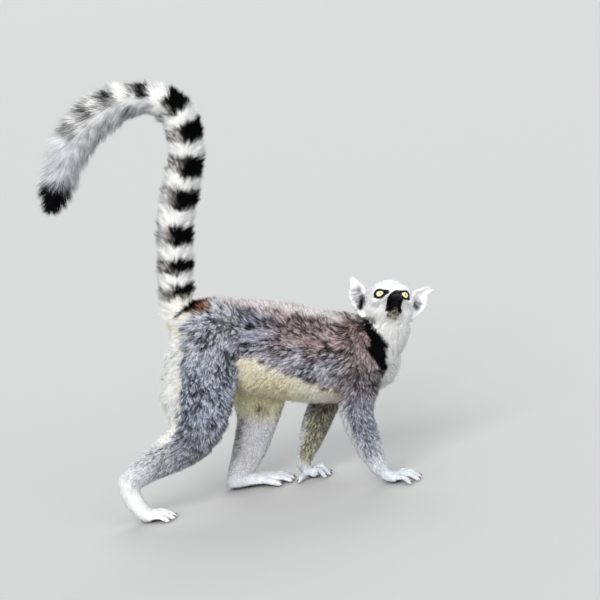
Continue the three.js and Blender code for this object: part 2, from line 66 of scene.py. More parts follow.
LEGS = {
    "hr": [
        (-126, -17, 276, 35, 22, 9), (-135.7, -29, 256.5, 49, 30, 10), (-155.6, -38.5, 216.1, 55, 32, 10),
        (-168.3, -47, 174.2, 53.5, 31, 9), (-173.3, -54, 142.9, 46, 29, 9), (-187.8, -60, 117.3, 37, 26, 7.5),
        (-220.7, -60, 98.2, 30.5, 22, 6), (-252.7, -58, 84.6, 24, 18, 5), (-277.4, -56, 71.2, 19.5, 15, 3.5),
        (-287.5, -55, 64, 17, 13.5, 2.5),
    ],
    "hl": [
        (-114, 18, 252, 36, 22, 9), (-105.4, 30, 224.6, 50, 30, 10), (-89.2, 40, 173.5, 50, 31, 9),
        (-83.1, 48, 134.9, 40, 29, 8), (-91.1, 54, 103.8, 32, 25, 7), (-103.5, 55, 74, 29, 22, 6),
        (-116.9, 54, 47.9, 24.5, 18, 5), (-129.4, 53, 28, 20, 15, 3.5), (-135.4, 52, 19.7, 16.5, 13, 2.5),
    ],
    "fr": [
        (82.5, -26, 221, 31, 25, 9), (82.6, -31, 208.1, 36, 27, 9), (74.3, -41, 176.4, 34, 27, 9),
        (64.6, -50, 144.5, 30, 25, 8), (56.4, -55, 120.9, 26.5, 22, 7), (58.6, -56, 96.1, 24.5, 20, 6),
        (64.2, -54, 68.7, 22, 17.5, 5), (70.6, -52, 45.7, 18, 14.5, 4), (75.2, -51, 30.9, 14, 12, 3),
    ],
    "fl": [
        (68, 27, 203, 31, 25, 9), (59.5, 31, 189.8, 36, 27, 9), (33.8, 41, 148.4, 31, 26, 9),
        (11.3, 50, 110, 24, 22, 7), (-3.5, 53, 83.5, 22.5, 20, 6), (-15.6, 52, 60.5, 19, 16, 5),
        (-25.4, 51, 41.7, 15, 13, 4), (-32.6, 50, 25.7, 11, 10, 2.5),
    ],
}
# sole or palm, then five digits of base, knuckle, tip: x, y, z, radius
PAWS = {
    "hr": {
        "palm": [(-291.5, -55, 62, 15, 13), (-291, -55, 45, 15, 13), (-285, -55, 28, 13.5, 14), (-273.5, -55, 11, 12, 15.5), (-263, -55, 8, 9, 15)],
        "digits": [
            [(-279, -44, 13, 6.6), (-267, -35, 8, 6), (-257, -28.5, 4.2, 5)],
            [(-266, -46.5, 9, 5.4), (-252, -43.5, 9.5, 4.9), (-240, -42, 3.5, 4.3)],
            [(-264, -52.3, 9.5, 5.6), (-248, -52, 10, 5.1), (-234, -53, 3.6, 4.4)],
            [(-265, -58.7, 9, 5.6), (-249, -62, 9.8, 5.1), (-236, -65, 3.6, 4.4)],
            [(-268, -65, 8, 5.2), (-254, -71, 8.5, 4.7), (-243, -76.5, 3.3, 4.1)],
        ],
    },
    "hl": {
        "palm": [(-143, 52, 13, 14, 12.5), (-123, 52, 11.7, 12.5, 13), (-103, 53, 9.8, 11, 14.5), (-88, 54, 8.4, 9.6, 15.5), (-82, 54, 7.4, 8.4, 14.5)],
        "digits": [
            [(-99, 42, 10, 6.6), (-86, 33, 7.8, 6), (-75, 27, 4.2, 5)],
            [(-86, 45.5, 8.6, 5.4), (-70.5, 42.5, 9.2, 4.9), (-58, 41.5, 3.5, 4.3)],
            [(-83, 51.3, 9, 5.6), (-67, 51, 9.6, 5.1), (-53.5, 51.5, 3.6, 4.4)],
            [(-83, 57.7, 9, 5.6), (-67, 60, 9.4, 5.1), (-54.5, 62.5, 3.6, 4.4)],
            [(-87, 64, 8, 5.2), (-73, 69, 8.3, 4.7), (-62, 73, 3.3, 4.1)],
        ],
    },
    "fr": {
        "palm": [(77, -51, 27, 12.5, 11.5), (83, -51, 16.5, 11, 12.5), (92.5, -51.5, 8.8, 9.5, 13.5), (101, -52, 7.2, 8, 13.5)],
        "digits": [
            [(89, -42, 11, 5.4), (98, -35, 8, 4.9), (107, -30.5, 3.4, 4.2)],
            [(101, -45, 9, 5), (115, -40.5, 10.8, 4.5), (126.5, -37, 3.2, 4)],
            [(103.5, -51, 9.4, 5.1), (119.5, -50, 11.6, 4.6), (132.5, -49, 3.3, 4.1)],
            [(102.5, -57, 9, 5), (117.5, -61, 11, 4.6), (129.5, -65.5, 3.3, 4.1)],
            [(98.5, -62, 8.4, 4.8), (109.5, -70.5, 9.4, 4.3), (117.5, -79.5, 3.1, 3.9)],
        ],
    },
    "fl": {
        "palm": [(-33.5, 50, 22.5, 10, 10), (-31, 50.3, 16.5, 10, 11), (-24, 51, 7.8, 9, 12.5), (-17, 52, 7.2, 8, 12.5)],
        "digits": [
            [(-31.5, 42.5, 10, 5.2), (-37.5, 35, 8, 4.7), (-43.5, 28.5, 3.3, 4.1)],
            [(-20.5, 45, 9.6, 4.8), (-12, 39.5, 13, 4.4), (-4.5, 35, 3.2, 4)],
            [(-17.5, 50.2, 10, 4.9), (-7.5, 47.8, 15, 4.5), (2, 45.8, 3.3, 4.1)],
            [(-17.5, 56.3, 10, 4.9), (-7.5, 56.6, 15, 4.5), (3, 57.2, 3.3, 4.1)],
            [(-20.5, 61.5, 9, 4.7), (-12, 65.5, 12, 4.3), (-4, 69, 3.1, 3.9)],
        ],
    },
}
HEAD_AT = np.array([128.8, -15.0, 259.3])
_f = np.array([0.2355, -0.7898, 0.5664]); _f /= np.linalg.norm(_f)
_l = np.array([0.9662, 0.1268, -0.2249]); _l -= _f * (_l @ _f); _l /= np.linalg.norm(_l)
HEAD_R = np.stack([_f, _l, np.cross(_f, _l)])  # rows: front, left, up
EYE_R = 8.4
EYES = {"right": np.array([19.5, -17.3, 4.2]), "left": np.array([19.5, 17.1, 4.0])}
OPENING = {"right": np.array([0.885, -0.34, -0.22]), "left": np.array([0.885, 0.34, -0.22])}
GAZE = {"right": np.array([0.905, -0.19, -0.20]), "left": np.array([0.905, 0.25, -0.22])}
LID_A, LID_B = 6.3, 4.4  # half sizes of the eye's opening
EARS = {
    # rows: height up the leaf, middle and half width across it
    "right": dict(foot=(-9.3, -31.6, -4.79), tip=(0.0863, -0.265, 0.9604), open=(0.8174, -0.5672, -0.1007), long=52.5,
                  rows=[(-13, -2.0, 5.5), (-5, -4.5, 7), (7, -7.2, 9.2), (15, -7.1, 10.7), (23, -6.5, 12.0), (31, -5.3, 10.6), (38, -5.6, 6.2), (45, -6.0, 2.8), (51, -7.4, 0.9)]),
    "left": dict(foot=(-5.84, 34.31, -4.79), tip=(0.1309, 0.6369, 0.7598), open=(0.8547, 0.3443, -0.3885), long=46.0,
                 rows=[(-13, 0.5, 9), (-6, 0.8, 10), (4, 0.6, 12), (10, 0.6, 12.6), (16, 0.0, 13.0), (22, -2.0, 12.0), (28.6, -3.4, 7.2), (32, -3.2, 5.4), (37.3, -1.2, 4.2), (43, 1.9, 2.2), (45.5, 3.2, 1.0)]),
}
NOSE_TIP = np.array([56.0, 0.0, -10.0])


def unit(v):
    v = np.asarray(v, float)
    return v / np.linalg.norm(v)


def to_head(X):
    return ((X - HEAD_AT) @ HEAD_R.T).astype(F32)


def from_head(q):
    return np.asarray(q) @ HEAD_R + HEAD_AT


# ------------------------------------------------------------------ fields
def ss(e0, e1, x):
    t = np.clip((x - e0) / (e1 - e0), 0, 1)
    return t * t * (3 - 2 * t)


def smin(a, b, k):
    h = np.maximum(k - np.abs(a - b), 0) / k
    return np.minimum(a, b) - h * h * k * 0.25


def smax(a, b, k):
    return -smin(-a, -b, k)


def catmull(P, per):
    """Centripetal Catmull-Rom through the rows of P."""
    P = np.asarray(P, float)
    E = np.vstack([2 * P[0] - P[1], P, 2 * P[-1] - P[-2]])
    out = []
    for i in range(len(P) - 1):
        p0, p1, p2, p3 = E[i : i + 4]
        d0, d1, d2 = (max(np.linalg.norm(b - a) ** 0.5, 1e-4) for a, b in ((p0, p1), (p1, p2), (p2, p3)))
        t1 = ((p1 - p0) / d0 - (p2 - p0) / (d0 + d1) + (p2 - p1) / d1) * d1
        t2 = ((p2 - p1) / d1 - (p3 - p1) / (d1 + d2) + (p3 - p2) / d2) * d1
        for k in range(per):
            u = k / per
            out.append(
                p1 + t1 * u + (-3 * p1 + 3 * p2 - 2 * t1 - t2) * u * u + (2 * p1 - 2 * p2 + t1 + t2) * u**3
            )
    out.append(P[-1])
    return np.array(out)


def smooth_rows(R, per):
    """Uniform Catmull-Rom for the sizes."""
    R = np.asarray(R, float)
    E = np.vstack([2 * R[0] - R[1], R, 2 * R[-1] - R[-2]])
    out = []
    for i in range(len(R) - 1):
        p0, p1, p2, p3 = E[i : i + 4]
        for k in range(per):
            u = k / per
            out.append(0.5 * (2 * p1 + (p2 - p0) * u + (2 * p0 - 5 * p1 + 4 * p2 - p3) * u * u + (3 * p1 - p0 - 3 * p2 + p3) * u**3))
    out.append(R[-1])
    return np.array(out)


class Tube:
    """A swept tube of elliptical section; its field is measured from the skin, inside the coat."""

    def __init__(self, rows, per=2, side=(0, 1, 0), coat=None, head=False):
        R = np.array([list(r) + ([coat] if coat is not None else []) for r in rows], float)
        at = from_head(R[:, :3]) if head else R[:, :3]
        self.P = catmull(at, per)
        size = smooth_rows(R[:, 3:6], per)
        self.coat = size[:, 2].astype(F32)
        self.ra = np.maximum(size[:, 0] - size[:, 2], 0.6).astype(F32)
        self.rb = np.maximum(size[:, 1] - size[:, 2], 0.6).astype(F32)
        T = np.gradient(self.P, axis=0)
        T /= np.linalg.norm(T, axis=1)[:, None]
        S = np.asarray(side, float) - T * (T @ np.asarray(side, float))[:, None]
        S /= np.linalg.norm(S, axis=1)[:, None]
        self.T, self.S, self.N = T, S, np.cross(T, S)
        self.M = [
            np.stack([T[i], self.N[i], S[i], T[i + 1], self.N[i + 1], S[i + 1]], 1).astype(F32)
            for i in range(len(T) - 1)
        ]
        self.arc = np.concatenate([[0], np.cumsum(np.linalg.norm(np.diff(self.P, axis=0), axis=1))])
        reach = np.maximum(self.ra, self.rb)[:, None]
        self.box = ((self.P - reach).min(0), (self.P + reach).max(0))

    def eval(self, X, attrs=False):
        m = len(X)
        best = np.full(m, 1e3, F32)
        s = np.zeros(m, F32); deep = np.zeros(m, F32); wide = np.zeros(m, F32)
        for i in range(len(self.P) - 1):
            A = self.P[i].astype(F32)
            D = (self.P[i + 1] - self.P[i]).astype(F32)
            V = X - A
            u = np.clip(V @ D / F32(D @ D), 0, 1)
            V -= u[:, None] * D
            R = V @ self.M[i]
            w = 1 - u
            al = R[:, 0] * w + R[:, 3] * u
            de = R[:, 1] * w + R[:, 4] * u
            wi = R[:, 2] * w + R[:, 5] * u
            a = self.ra[i] * w + self.ra[i + 1] * u
            b = self.rb[i] * w + self.rb[i + 1] * u
            c = (a + b) * F32(0.5)
            k = np.sqrt((de / a) ** 2 + (wi / b) ** 2 + (al / c) ** 2)
            v = np.sqrt(de * de + wi * wi + al * al)
            d = v - v / np.maximum(k, F32(1e-3))
            if attrs:
                up = d < best
                best[up] = d[up]; s[up] = i + u[up]
                kk = np.maximum(k[up], 1e-3)
                deep[up] = de[up] / a[up] / kk; wide[up] = wi[up] / b[up] / kk
            else:
                np.minimum(best, d, out=best)
        return (best, s, deep, wide) if attrs else best

    def at(self, table, s):
        i = np.clip(s.astype(int), 0, len(self.P) - 2)
        u = (s - i)
        t = np.asarray(table)
        return t[i] * (1 - u)[:, None] + t[i + 1] * u[:, None] if t.ndim == 2 else t[i] * (1 - u) + t[i + 1] * u


class Head:
    """Skull, cheeks, brow, muzzle and jaw under their short coat."""

    BALLS = [  # front, left, up, half sizes
        (-5, 0, 8, 28.5, 28, 24.5), (10, 0, 13, 15.5, 20.5, 13.5),
        (1, -20, -9, 14.5, 10, 12), (1, 20, -9, 14.5, 10, 12),
        (-4, -23.4, 5, 14, 8.0, 14), (-4, 24, 4, 14, 7.5, 13),
        (15, -15.0, 4.2, 10.6, 9.8, 10.6), (15, 15.0, 4.2, 10.6, 9.8, 10.6),
    ]

    def __init__(self):
        self.muzzle = Tube(
            [(14, 0, -5, 15, 15, 1.5), (27, 0.4, -8.5, 13.2, 12.6, 0.9), (37, 0.9, -11, 11.8, 11.6, 0.6), (45.5, 0.8, -11, 9.5, 8.8, 0.4), (51.0, 0.3, -9.8, 6.4, 6.2, 0.2)],
            3, side=HEAD_R[1], head=True,
        )
        self.jaw = Tube(
            [(4, 0, -20, 9, 16, 2.5), (24, 0.5, -22.8, 7.4, 11.6, 1.3), (38.5, 0.9, -21.4, 5.9, 8.2, 0.6)],
            3, side=HEAD_R[1], head=True,
        )
        self.box = (HEAD_AT - 66, HEAD_AT + 66)

    def ball(self, q, b):
        v = q - np.array(b[:3], F32)
        k = np.sqrt(((v / np.array(b[3:], F32)) ** 2).sum(1)) + F32(1e-4)
        n = np.sqrt((v * v).sum(1))
        return n - n / k

    def eval(self, X):
        q = to_head(X)
        d = self.ball(q, self.BALLS[0])
        for b in self.BALLS[1:]:
            d = smin(d, self.ball(q, b), 8)
        d = smin(d, self.muzzle.eval(X), 9)
        # brow ridge over each eye and the hollow between brow and muzzle
        for y in (-1, 1):
            d = smin(d, self.ball(q, (21.5, y * 13.5, 12.6, 6.5, 9, 3.4)), 5)
            d = smin(d, self.ball(q, (17, y * 23, -6, 8, 5, 5)), 6)
        jaw = self.jaw.eval(X)
        d = smin(d, jaw, 3.0)
        # mouth line between muzzle and jaw, philtrum and nostrils
        x, y, z = q[:, 0], q[:, 1], q[:, 2]
        line = ((z + 17.4 + 0.06 * (x - 30)) / 1.15) ** 2
        d = d + 1.3 * np.exp(-line) * ss(12, 20, x)
        d = d + 0.9 * np.exp(-(((y - 0.3) / 0.7) ** 2)) * ss(50, 52, x) * ss(-17, -15.5, z) * ss(-10, -12, z)
        for side in (-1, 1):
            d = d + 4.2 * np.exp(-(((x - 56.0) / 4.2) ** 2) - ((y - 0.3 - side * 3.1) / 1.8) ** 2 - ((z + 9.8) / 1.6) ** 2)
            d = d + 1.5 * np.exp(-(((x - 53.6) / 3.0) ** 2) - ((y - 0.3 - side * 5.2) / 1.8) ** 2 - ((z + 10.2) / 0.95) ** 2)
        return d

    def lids(self, X, d):
        """Swells the lids over the eyeball and opens them down to it."""
        q = to_head(X)
        for side, c in EYES.items():
            v = q - c.astype(F32)
            r = np.sqrt((v * v).sum(1))
            o, h, w = opening_axes(side)
            z, x, y = v @ o, v @ h, v @ w
            t = y - 0.18 * x
            g = (np.sqrt((x / LID_A) ** 2 + (t / np.where(t > 0, LID_B * 0.84, LID_B)) ** 2 + 1e-6) - 1) * LID_B
            near = r < EYE_R + 9
            lid = r - F32(EYE_R + 1.15) + np.maximum(-z - 1, 0) * 0.8
            d = np.where(near, smin(d, lid, 2.4), d)
            # creases above and below the lids
            rim = np.sqrt((x / 8.9) ** 2 + (t / 7.0) ** 2 + 1e-6) - 1
            d = d + 0.55 * np.exp(-((rim / 0.10) ** 2)) * ss(2, 5, z)
            d = np.where(near, smax(d, -np.maximum(g, 4.4 - z), 0.55), d)
        return d


def opening_axes(side):
    o = unit(OPENING[side])
    h = unit(np.array([0, 1 if side == "right" else -1, 0]) - o * o[1] * (1 if side == "right" else -1))  # towards the nose
    w = np.cross(o, h)
    if w[2] < 0:
        w = -w
    return o.astype(F32), h.astype(F32), w.astype(F32)


class Ear:
    """A cupped leaf of even thickness."""

    def __init__(self, e):
        self.t = unit(np.array(e["tip"]) @ HEAD_R)
        o = np.array(e["open"]) @ HEAD_R
        o -= self.t * (o @ self.t)
        self.o = unit(o)
        self.s = np.cross(self.t, self.o)
        self.F = from_head(np.array(e["foot"], float))
        self.rows = smooth_rows(e["rows"], 6)
        self.L, self.W = e["long"], float(self.rows[:, 2].max())
        c = self.F + self.t * self.L * 0.35
        self.box = (c - self.L * 0.75, c + self.L * 0.75)

    def coords(self, X):
        v = X - self.F
        a = (v @ self.t).astype(F32)
        return a, (v @ self.o).astype(F32), (v @ self.s - np.interp(a, self.rows[:, 0], self.rows[:, 1])).astype(F32)

    def width(self, a):
        return np.interp(a, self.rows[:, 0], self.rows[:, 2]).astype(F32)

    def eval(self, X):
        a, o, s = self.coords(X)
        w = self.width(a)
        x = np.clip(s / w, -1.3, 1.3)
        depth = 6.5 * np.clip(w / self.W, 0, 1)
        om = 1.5 - depth * (1 - x * x) + 0.0016 * (a - 0.3 * self.L) ** 2
        slope = 2 * depth * x / w
        th = 1.4 + 0.5 * (1 - ss(0, 0.5 * self.L, a))
        d = np.abs(o - om) / np.sqrt(1 + slope * slope) - th
        d = smax(d, (np.abs(s) - w) * 0.8, 1.2)
        d = smax(d, -(a + 12), 1.0)
        return smax(d, a - (self.L - 2), 1.0)


class Paw:
    def __init__(self, p, hind):
        self.palm = Tube(p["palm"], 2, coat=1.5)
        self.digits = []
        for d in p["digits"]:
            way = unit([d[2][0] - d[0][0], d[2][1] - d[0][1], 0])
            rows = [(*r[:3], r[3], r[3]) for r in d]
            self.digits.append(Tube(rows, 3, side=(-way[1], way[0], 0), coat=1.0))
        los = [t.box[0] for t in [self.palm] + self.digits]
        his = [t.box[1] for t in [self.palm] + self.digits]
        self.box = (np.min(los, 0), np.max(his, 0))
        self.pads = []
        for t in self.digits:
            self.pads.append(t.P[-1])

    def eval(self, X):
        d = self.palm.eval(X)
        dig = self.digits[0].eval(X)
        for t in self.digits[1:]:
            dig = smin(dig, t.eval(X), 1.2)
        return smin(d, dig, 4.0)


spine = Tube(SPINE, 3)
neck = Tube(NECK, 3)
tail = Tube(TAIL, 2)
legs = {k: Tube(v, 2) for k, v in LEGS.items()}
paws = {k: Paw(v, k[0] == "h") for k, v in PAWS.items()}
head = Head()
ears = {k: Ear(v) for k, v in EARS.items()}
PARTS = [("spine", spine, 0), ("neck", neck, 20), ("tail", tail, 14)]
PARTS += [("leg_" + k, legs[k], 18 if k[0] == "h" else 16) for k in legs]
PARTS += [("paw_" + k, paws[k], 5) for k in paws]
PARTS += [("head", head, 10)]


def inside(part, X, margin=24):
    lo, hi = part.box
    return np.flatnonzero(((X > lo - margin) & (X < hi + margin)).all(1))


def field(X):
    X = np.asarray(X, F32)
    f = np.full(len(X), 1e3, F32)
    for name, part, k in PARTS:
        i = inside(part, X)
        if len(i) == 0:
            continue
        d = part.eval(X[i])
        f[i] = smin(f[i], d, k) if k else np.minimum(f[i], d)
    for e in ears.values():
        i = inside(e, X, 8)
        if len(i):
            f[i] = smin(f[i], e.eval(X[i]), 5)
    i = inside(head, X, 0)
    if len(i):
        f[i] = head.lids(X[i], f[i])
    return smax(f, 0.2 - X[:, 2], 0.4)


def field_chunks(X, size=250000):
    return np.concatenate([field(X[i : i + size]) for i in range(0, len(X), size)]) if len(X) else np.zeros(0, F32)


def gradient(X, e=0.15):
    f0 = field_chunks(X)
    G = np.stack([field_chunks(X + np.array(d, F32)) - f0 for d in ((e, 0, 0), (0, e, 0), (0, 0, e))], 1) / e
    return f0, G


OFF8 = np.array([[x, y, z] for x in (0, 1) for y in (0, 1) for z in (0, 1)], np.int64)
EDGES = [(0, 1), (2, 3), (4, 5), (6, 7), (0, 2), (1, 3), (4, 6), (5, 7), (0, 4), (1, 5), (2, 6), (3, 7)]


def surface(h_last, levels):
    """The skin as quads, by surface nets on cells refined only near the surface."""
    h = h_last * 2 ** (levels - 1)
    lo = np.array([-372.0, -100.0, -6.0]); hi = np.array([205.0, 96.0, 650.0])
    n = np.ceil((hi - lo) / h).astype(int)
    cells = np.stack(np.meshgrid(*[np.arange(k) for k in n], indexing="ij"), -1).reshape(-1, 3)
    for level in range(levels):
        f = field_chunks((lo + (cells + 0.5) * h).astype(F32))
        cells = cells[np.abs(f) < h * 0.87 * 1.5 + 0.7]
        if level < levels - 1:
            cells = (cells[:, None, :] * 2 + OFF8[None]).reshape(-1, 3)
            h /= 2
    K = 1 << 20
    key = lambda c: (c[..., 0] * K + c[..., 1]) * K + c[..., 2]
    ck = key((cells[:, None, :] + OFF8[None]))
    uk, inv = np.unique(ck, return_inverse=True)
    inv = inv.reshape(ck.shape)
    pts = np.stack([uk // (K * K), (uk // K) % K, uk % K], 1)
    fv = field_chunks((lo + pts * h).astype(F32))
    fc = fv[inv]
    neg = fc < 0
    cross = neg.any(1) & ~neg.all(1)
    cells, fc, neg = cells[cross], fc[cross], neg[cross]
    order = np.argsort(key(cells))
    cells, fc, neg = cells[order], fc[order], neg[order]
    cks = key(cells)
    acc = np.zeros((len(cells), 3)); cnt = np.zeros(len(cells))
    for a, b in EDGES:
        hit = neg[:, a] != neg[:, b]
        fa, fb = fc[hit, a], fc[hit, b]
        t = (fa / (fa - fb))[:, None]
        acc[hit] += OFF8[a] * (1 - t) + OFF8[b] * t
        cnt[hit] += 1
    V = lo + (cells + acc / cnt[:, None]) * h
    quads = []
    for axis, corner in ((0, 4), (1, 2), (2, 1)):
        b, c = (axis + 1) % 3, (axis + 2) % 3
        hit = neg[:, 0] != neg[:, corner]
        base = cells[hit]
        eb = np.zeros(3, np.int64); eb[b] = 1
        ec = np.zeros(3, np.int64); ec[c] = 1
        q = []
        ok = np.ones(len(base), bool)
        for off in (0 * eb, -eb, -eb - ec, -ec):
            k = key(base + off)
            i = np.clip(np.searchsorted(cks, k), 0, len(cks) - 1)
            ok &= cks[i] == k
            q.append(i)
        q = np.stack(q, 1)[ok]
        flip = ~neg[hit, 0][ok]
        q[flip] = q[flip][:, ::-1]
        quads.append(q)
    V = V.astype(F32)
    for _ in range(2):
        f0, G = gradient(V)
        g2 = np.maximum((G * G).sum(1), 0.2)
        V = V - (np.clip(f0, -h * 0.6, h * 0.6) / g2)[:, None] * G
    V[:, 2] = np.maximum(V[:, 2], 0.15)
    return V, np.concatenate(quads)


# ------------------------------------------------------------------ noise and colour
def mix(a, b, t):
    a, b = np.asarray(a, F32), np.asarray(b, F32)
    return a + (b - a) * np.asarray(t, F32)[:, None]


def vnoise(P, scale, seed=0):
    """Smooth value noise, 0 to 1."""
    p = P / F32(scale) + F32(37.3 + seed)
    i = np.floor(p)
    f = p - i
    f = f * f * (3 - 2 * f)
    i = i.astype(np.int64)
    out = np.zeros(len(P), F32)
    for dx in (0, 1):
        for dy in (0, 1):
            for dz in (0, 1):
                k = ((i[:, 0] + dx) * 73856093) ^ ((i[:, 1] + dy) * 19349663) ^ ((i[:, 2] + dz) * 83492791) ^ (seed * 7919)
                w = (f[:, 0] if dx else 1 - f[:, 0]) * (f[:, 1] if dy else 1 - f[:, 1]) * (f[:, 2] if dz else 1 - f[:, 2])
                out += w * NOISE_TABLE[k & 65535]
    return out


def linear(c):
    c = np.clip(np.asarray(c, float) / 255, 0, 1)
    return np.where(c <= 0.04045, c / 12.92, ((c + 0.055) / 1.055) ** 2.4)


WHITE = (250, 250, 249)
BLACK = (9, 9, 10)
# black rings: joint index from and to along the tail
RINGS = [(2.36, 3.17), (3.9, 4.54), (5.26, 6.23), (7.07, 7.91), (8.52, 9.47), (10.22, 11.12), (11.8, 12.79),
         (13.72, 14.45), (15.3, 15.8), (16.33, 16.9), (17.3, 17.9)]
NAMES = ["spine", "neck", "tail", "leg_hr", "leg_hl", "leg_fr", "leg_fl", "paw_hr", "paw_hl", "paw_fr", "paw_fl", "head", "ear_right", "ear_left"]
COL = {n: i for i, n in enumerate(NAMES)}


# line of the painted shade band where the neck's fur meets the shoulder's, partly dark skin there; the white throat
# lies in front of it
def neck_gap_x(z):
    return np.interp(z, [110, 140, 156, 174, 190, 203, 210, 219, 228, 235, 244, 252, 275], [62, 80, 97, 106, 103, 100.5, 102, 101.5, 97, 93, 88, 83, 70]).astype(F32)


# half width of that painted shade band
def neck_gap_half(z):
    return np.interp(z, [150, 156, 174, 188, 203, 210, 219, 228, 235, 252], [3, 4, 5.5, 9, 13, 12.5, 9.5, 6.5, 4.8, 4]).astype(F32)


def rear_edge(z):
    """Where the grey of the rump and thigh gives way to the white fringe behind, in the side view."""
    return np.interp(z, [100, 118, 132, 169, 219, 240, 267, 292], [-240, -222, -208, -199, -189, -184, -184, -184]).astype(F32)


def body_colour(X, h, rear_white, n1, n2, n3):
    """Grey and brown coat of the trunk, with its pale belly, from the height h on its section, -1 to 1."""
    x, z = X[:, 0], X[:, 2]
    rump = mix((142, 142, 156), (204, 206, 217), ss(-92, -132, x + 16 * (n2 - 0.5)) * ss(30, -5, X[:, 1]))
    top = mix(rump, (150, 134, 135), ss(-80, -30, x + 30 * (n2 - 0.5)))
    top = mix(top, (146, 124, 121), ss(35, 75, x) * 0.8)
    c = mix(top, (172, 171, 184), ss(0.34, -0.04, h + 0.3 * (n1 - 0.5)) * ss(-118, -95, x))
    c = mix(c, (219, 211, 212), ss(0.80, 0.98, h) * ss(75, 40, x))
    c = mix(c, (148, 110, 92), ss(14, 4, np.abs(X[:, 1])) * ss(-118, -135, x) * ss(-176, -160, x) * ss(0.5, 0.8, h) * 0.55)
    edge = np.interp(x, [-170, -150, -120, -89, -60, -30, 15, 45, 75], [-1.4, -0.6, -0.1, -0.06, -0.2, -0.35, -0.53, -0.62, -0.7])
    e = h - edge + 0.22 * (n1 - 0.5) + 0.2 * (n3 - 0.5)
    # painted shade: the lower flank darker just above the belly
    c = mix(c, (128, 112, 108), ss(0.24, 0.0, e) * ss(-60, -20, x) * 0.5 * ss(0.35, 0.6, n1))
    c = mix(c, (206, 204, 206), ss(0.30, 0.0, e) * ss(-20, -60, x) * 0.5)
    # the belly is cream; its lower part towards the rear is painted darker, as shade under the body
    low = mix((236, 225, 192), (254, 248, 226), ss(-50, -5, x))
    c = mix(mix((250, 241, 216), low, ss(-0.25, -0.7, h)), c, ss(-0.06, 0.05, e))
    return mix(c, (238, 239, 235), rear_white)


def face_colour(X, n1, n3):
    q = to_head(X)
    x, y, z = q[:, 0], q[:, 1], q[:, 2]
    c = np.tile(np.array((250, 250, 249), F32), (len(X), 1))
    c = mix(c, (206, 206, 218), ss(6, 15, z) * ss(34, 24, x) * (0.45 + 0.55 * ss(0.35, 0.65, n3)) * 0.75)
    c = mix(c, (128, 125, 128), ss(-10, -24, x + 8 * (n1 - 0.5)) * ss(-2, 10, z) * 0.9)
    c = mix(c, (216, 216, 226), ss(0.40, 0.75, n1) * 0.5 * ss(22, 8, x))
    # painted shadow: light grey on the cheeks under the eyes
    c = mix(c, (212, 215, 216), ss(-2, -6, z) * ss(-16, -11, z) * ss(8, 14, x) * ss(8, 12, np.abs(y)) * 0.5)
    near_edge = np.interp(z, [-27, -21, -16, -11, -6, -2], [25.5, 24, 28, 36, 44.5, 49])
    far_edge = np.interp(z, [-27, -21, -16, -11, -6, -2], [23.5, 21, 22.5, 25.5, 32, 45])
    edge = near_edge + (far_edge - near_edge) * ss(-3, 3, y)
    ink = ss(-1.6, 1.6, x - edge + 3.5 * (n3 - 0.5))
    c = mix(c, (11, 10, 13), ink)
    # painted highlight: a lighter strip along the top of the nose pad
    c = mix(c, (66, 60, 76), ss(3.5, 1.5, np.abs(y - 0.3)) * ss(-6.5, -4.5, z) * ss(38, 44, x) * 0.7)
    c = mix(c, (36, 34, 39), ss(50.5, 52.0, x) * ss(-16, -13.5, z))
    # painted shade inside the nostrils and a painted highlight on their rims
    nostril_shade = np.clip(2.2 * np.exp(-(((np.abs(y - 0.3) - 3.7) / 2.2) ** 2) - ((z + 9.9) / 1.7) ** 2), 0, 1) * ss(48.5, 50, x)
    nostril_highlight = np.clip(1.5 * np.exp(-(((np.abs(y - 0.3) - 3.9) / 3.3) ** 2) - ((z + 9.2) / 2.7) ** 2), 0, 1) * ss(49.5, 51, x)
    c = mix(c, (104, 102, 112), nostril_highlight * 0.6)
    c = mix(c, (2, 2, 3), nostril_shade)
    under = ss(-18.5, -21.0, z - 0.35 * np.clip(14 - x, 0, 30))
    mott = 0.5 * n3 + 0.5 * n1
    fleck = ss(0.40, 0.68, n3)
    chin = mix((238, 238, 230), (118, 115, 96), ss(-12, 8, x + 14 * (mott - 0.5)) * (0.35 + 0.65 * ss(0.3, 0.7, n1)))
    chin = mix(chin, (58, 57, 50), fleck * ss(-12, 14, x) * 0.85)
    chin = mix(chin, (14, 13, 15), ss(-2.5, 2.5, x - 41.0 + 12.0 * ss(1.5, 6.5, np.abs(y - 0.5)) + 5 * (n3 - 0.5)))
    c = mix(c, chin, under * ss(9.5, 6.5, np.abs(y - 0.5) + 3 * (n1 - 0.5)) * ss(-14, -4, x + 6 * (n3 - 0.5)))
    c = mix(c, (15, 14, 17), ss(22, 26, x + 3 * (n3 - 0.5)) * ss(6.0, 3.5, np.abs(z + 20.0)) * ss(6.5, 8.0, np.abs(y - 0.5)) * ss(15, 13, np.abs(y)))
    for side, at in EYES.items():
        v = q - at.astype(F32)
        o, h, w = opening_axes(side)
        px, py, pz = v @ h, v @ w, v @ o
        wob = 0.14 * (n3 - 0.5)
        ring = np.sqrt(((px - 0.4) / 9.6) ** 2 + ((py + 0.1) / 7.9) ** 2)
        drop = np.sqrt(((px - 8.9) / 6.4) ** 2 + ((py - 1.9) / 5.3) ** 2)
        trail = np.sqrt(((px + 3.2) / 5.6) ** 2 + ((py + 2.6) / 5.8) ** 2)
        near = np.minimum(np.minimum(ring, drop), trail) + wob
        patch = (1 - ss(0.86, 1.06, near)) * ss(-6, -2, pz)
        c = mix(c, mix((18, 17, 20), (44, 39, 54), ss(7, 11, px)), patch)
        # the bare rim of the lids
        rim = np.sqrt((px / LID_A) ** 2 + ((py - 0.18 * px) / LID_B) ** 2)
        c = mix(c, (6, 5, 6), ss(1.42, 1.22, rim) * ss(0, 3, pz))
    return c, q


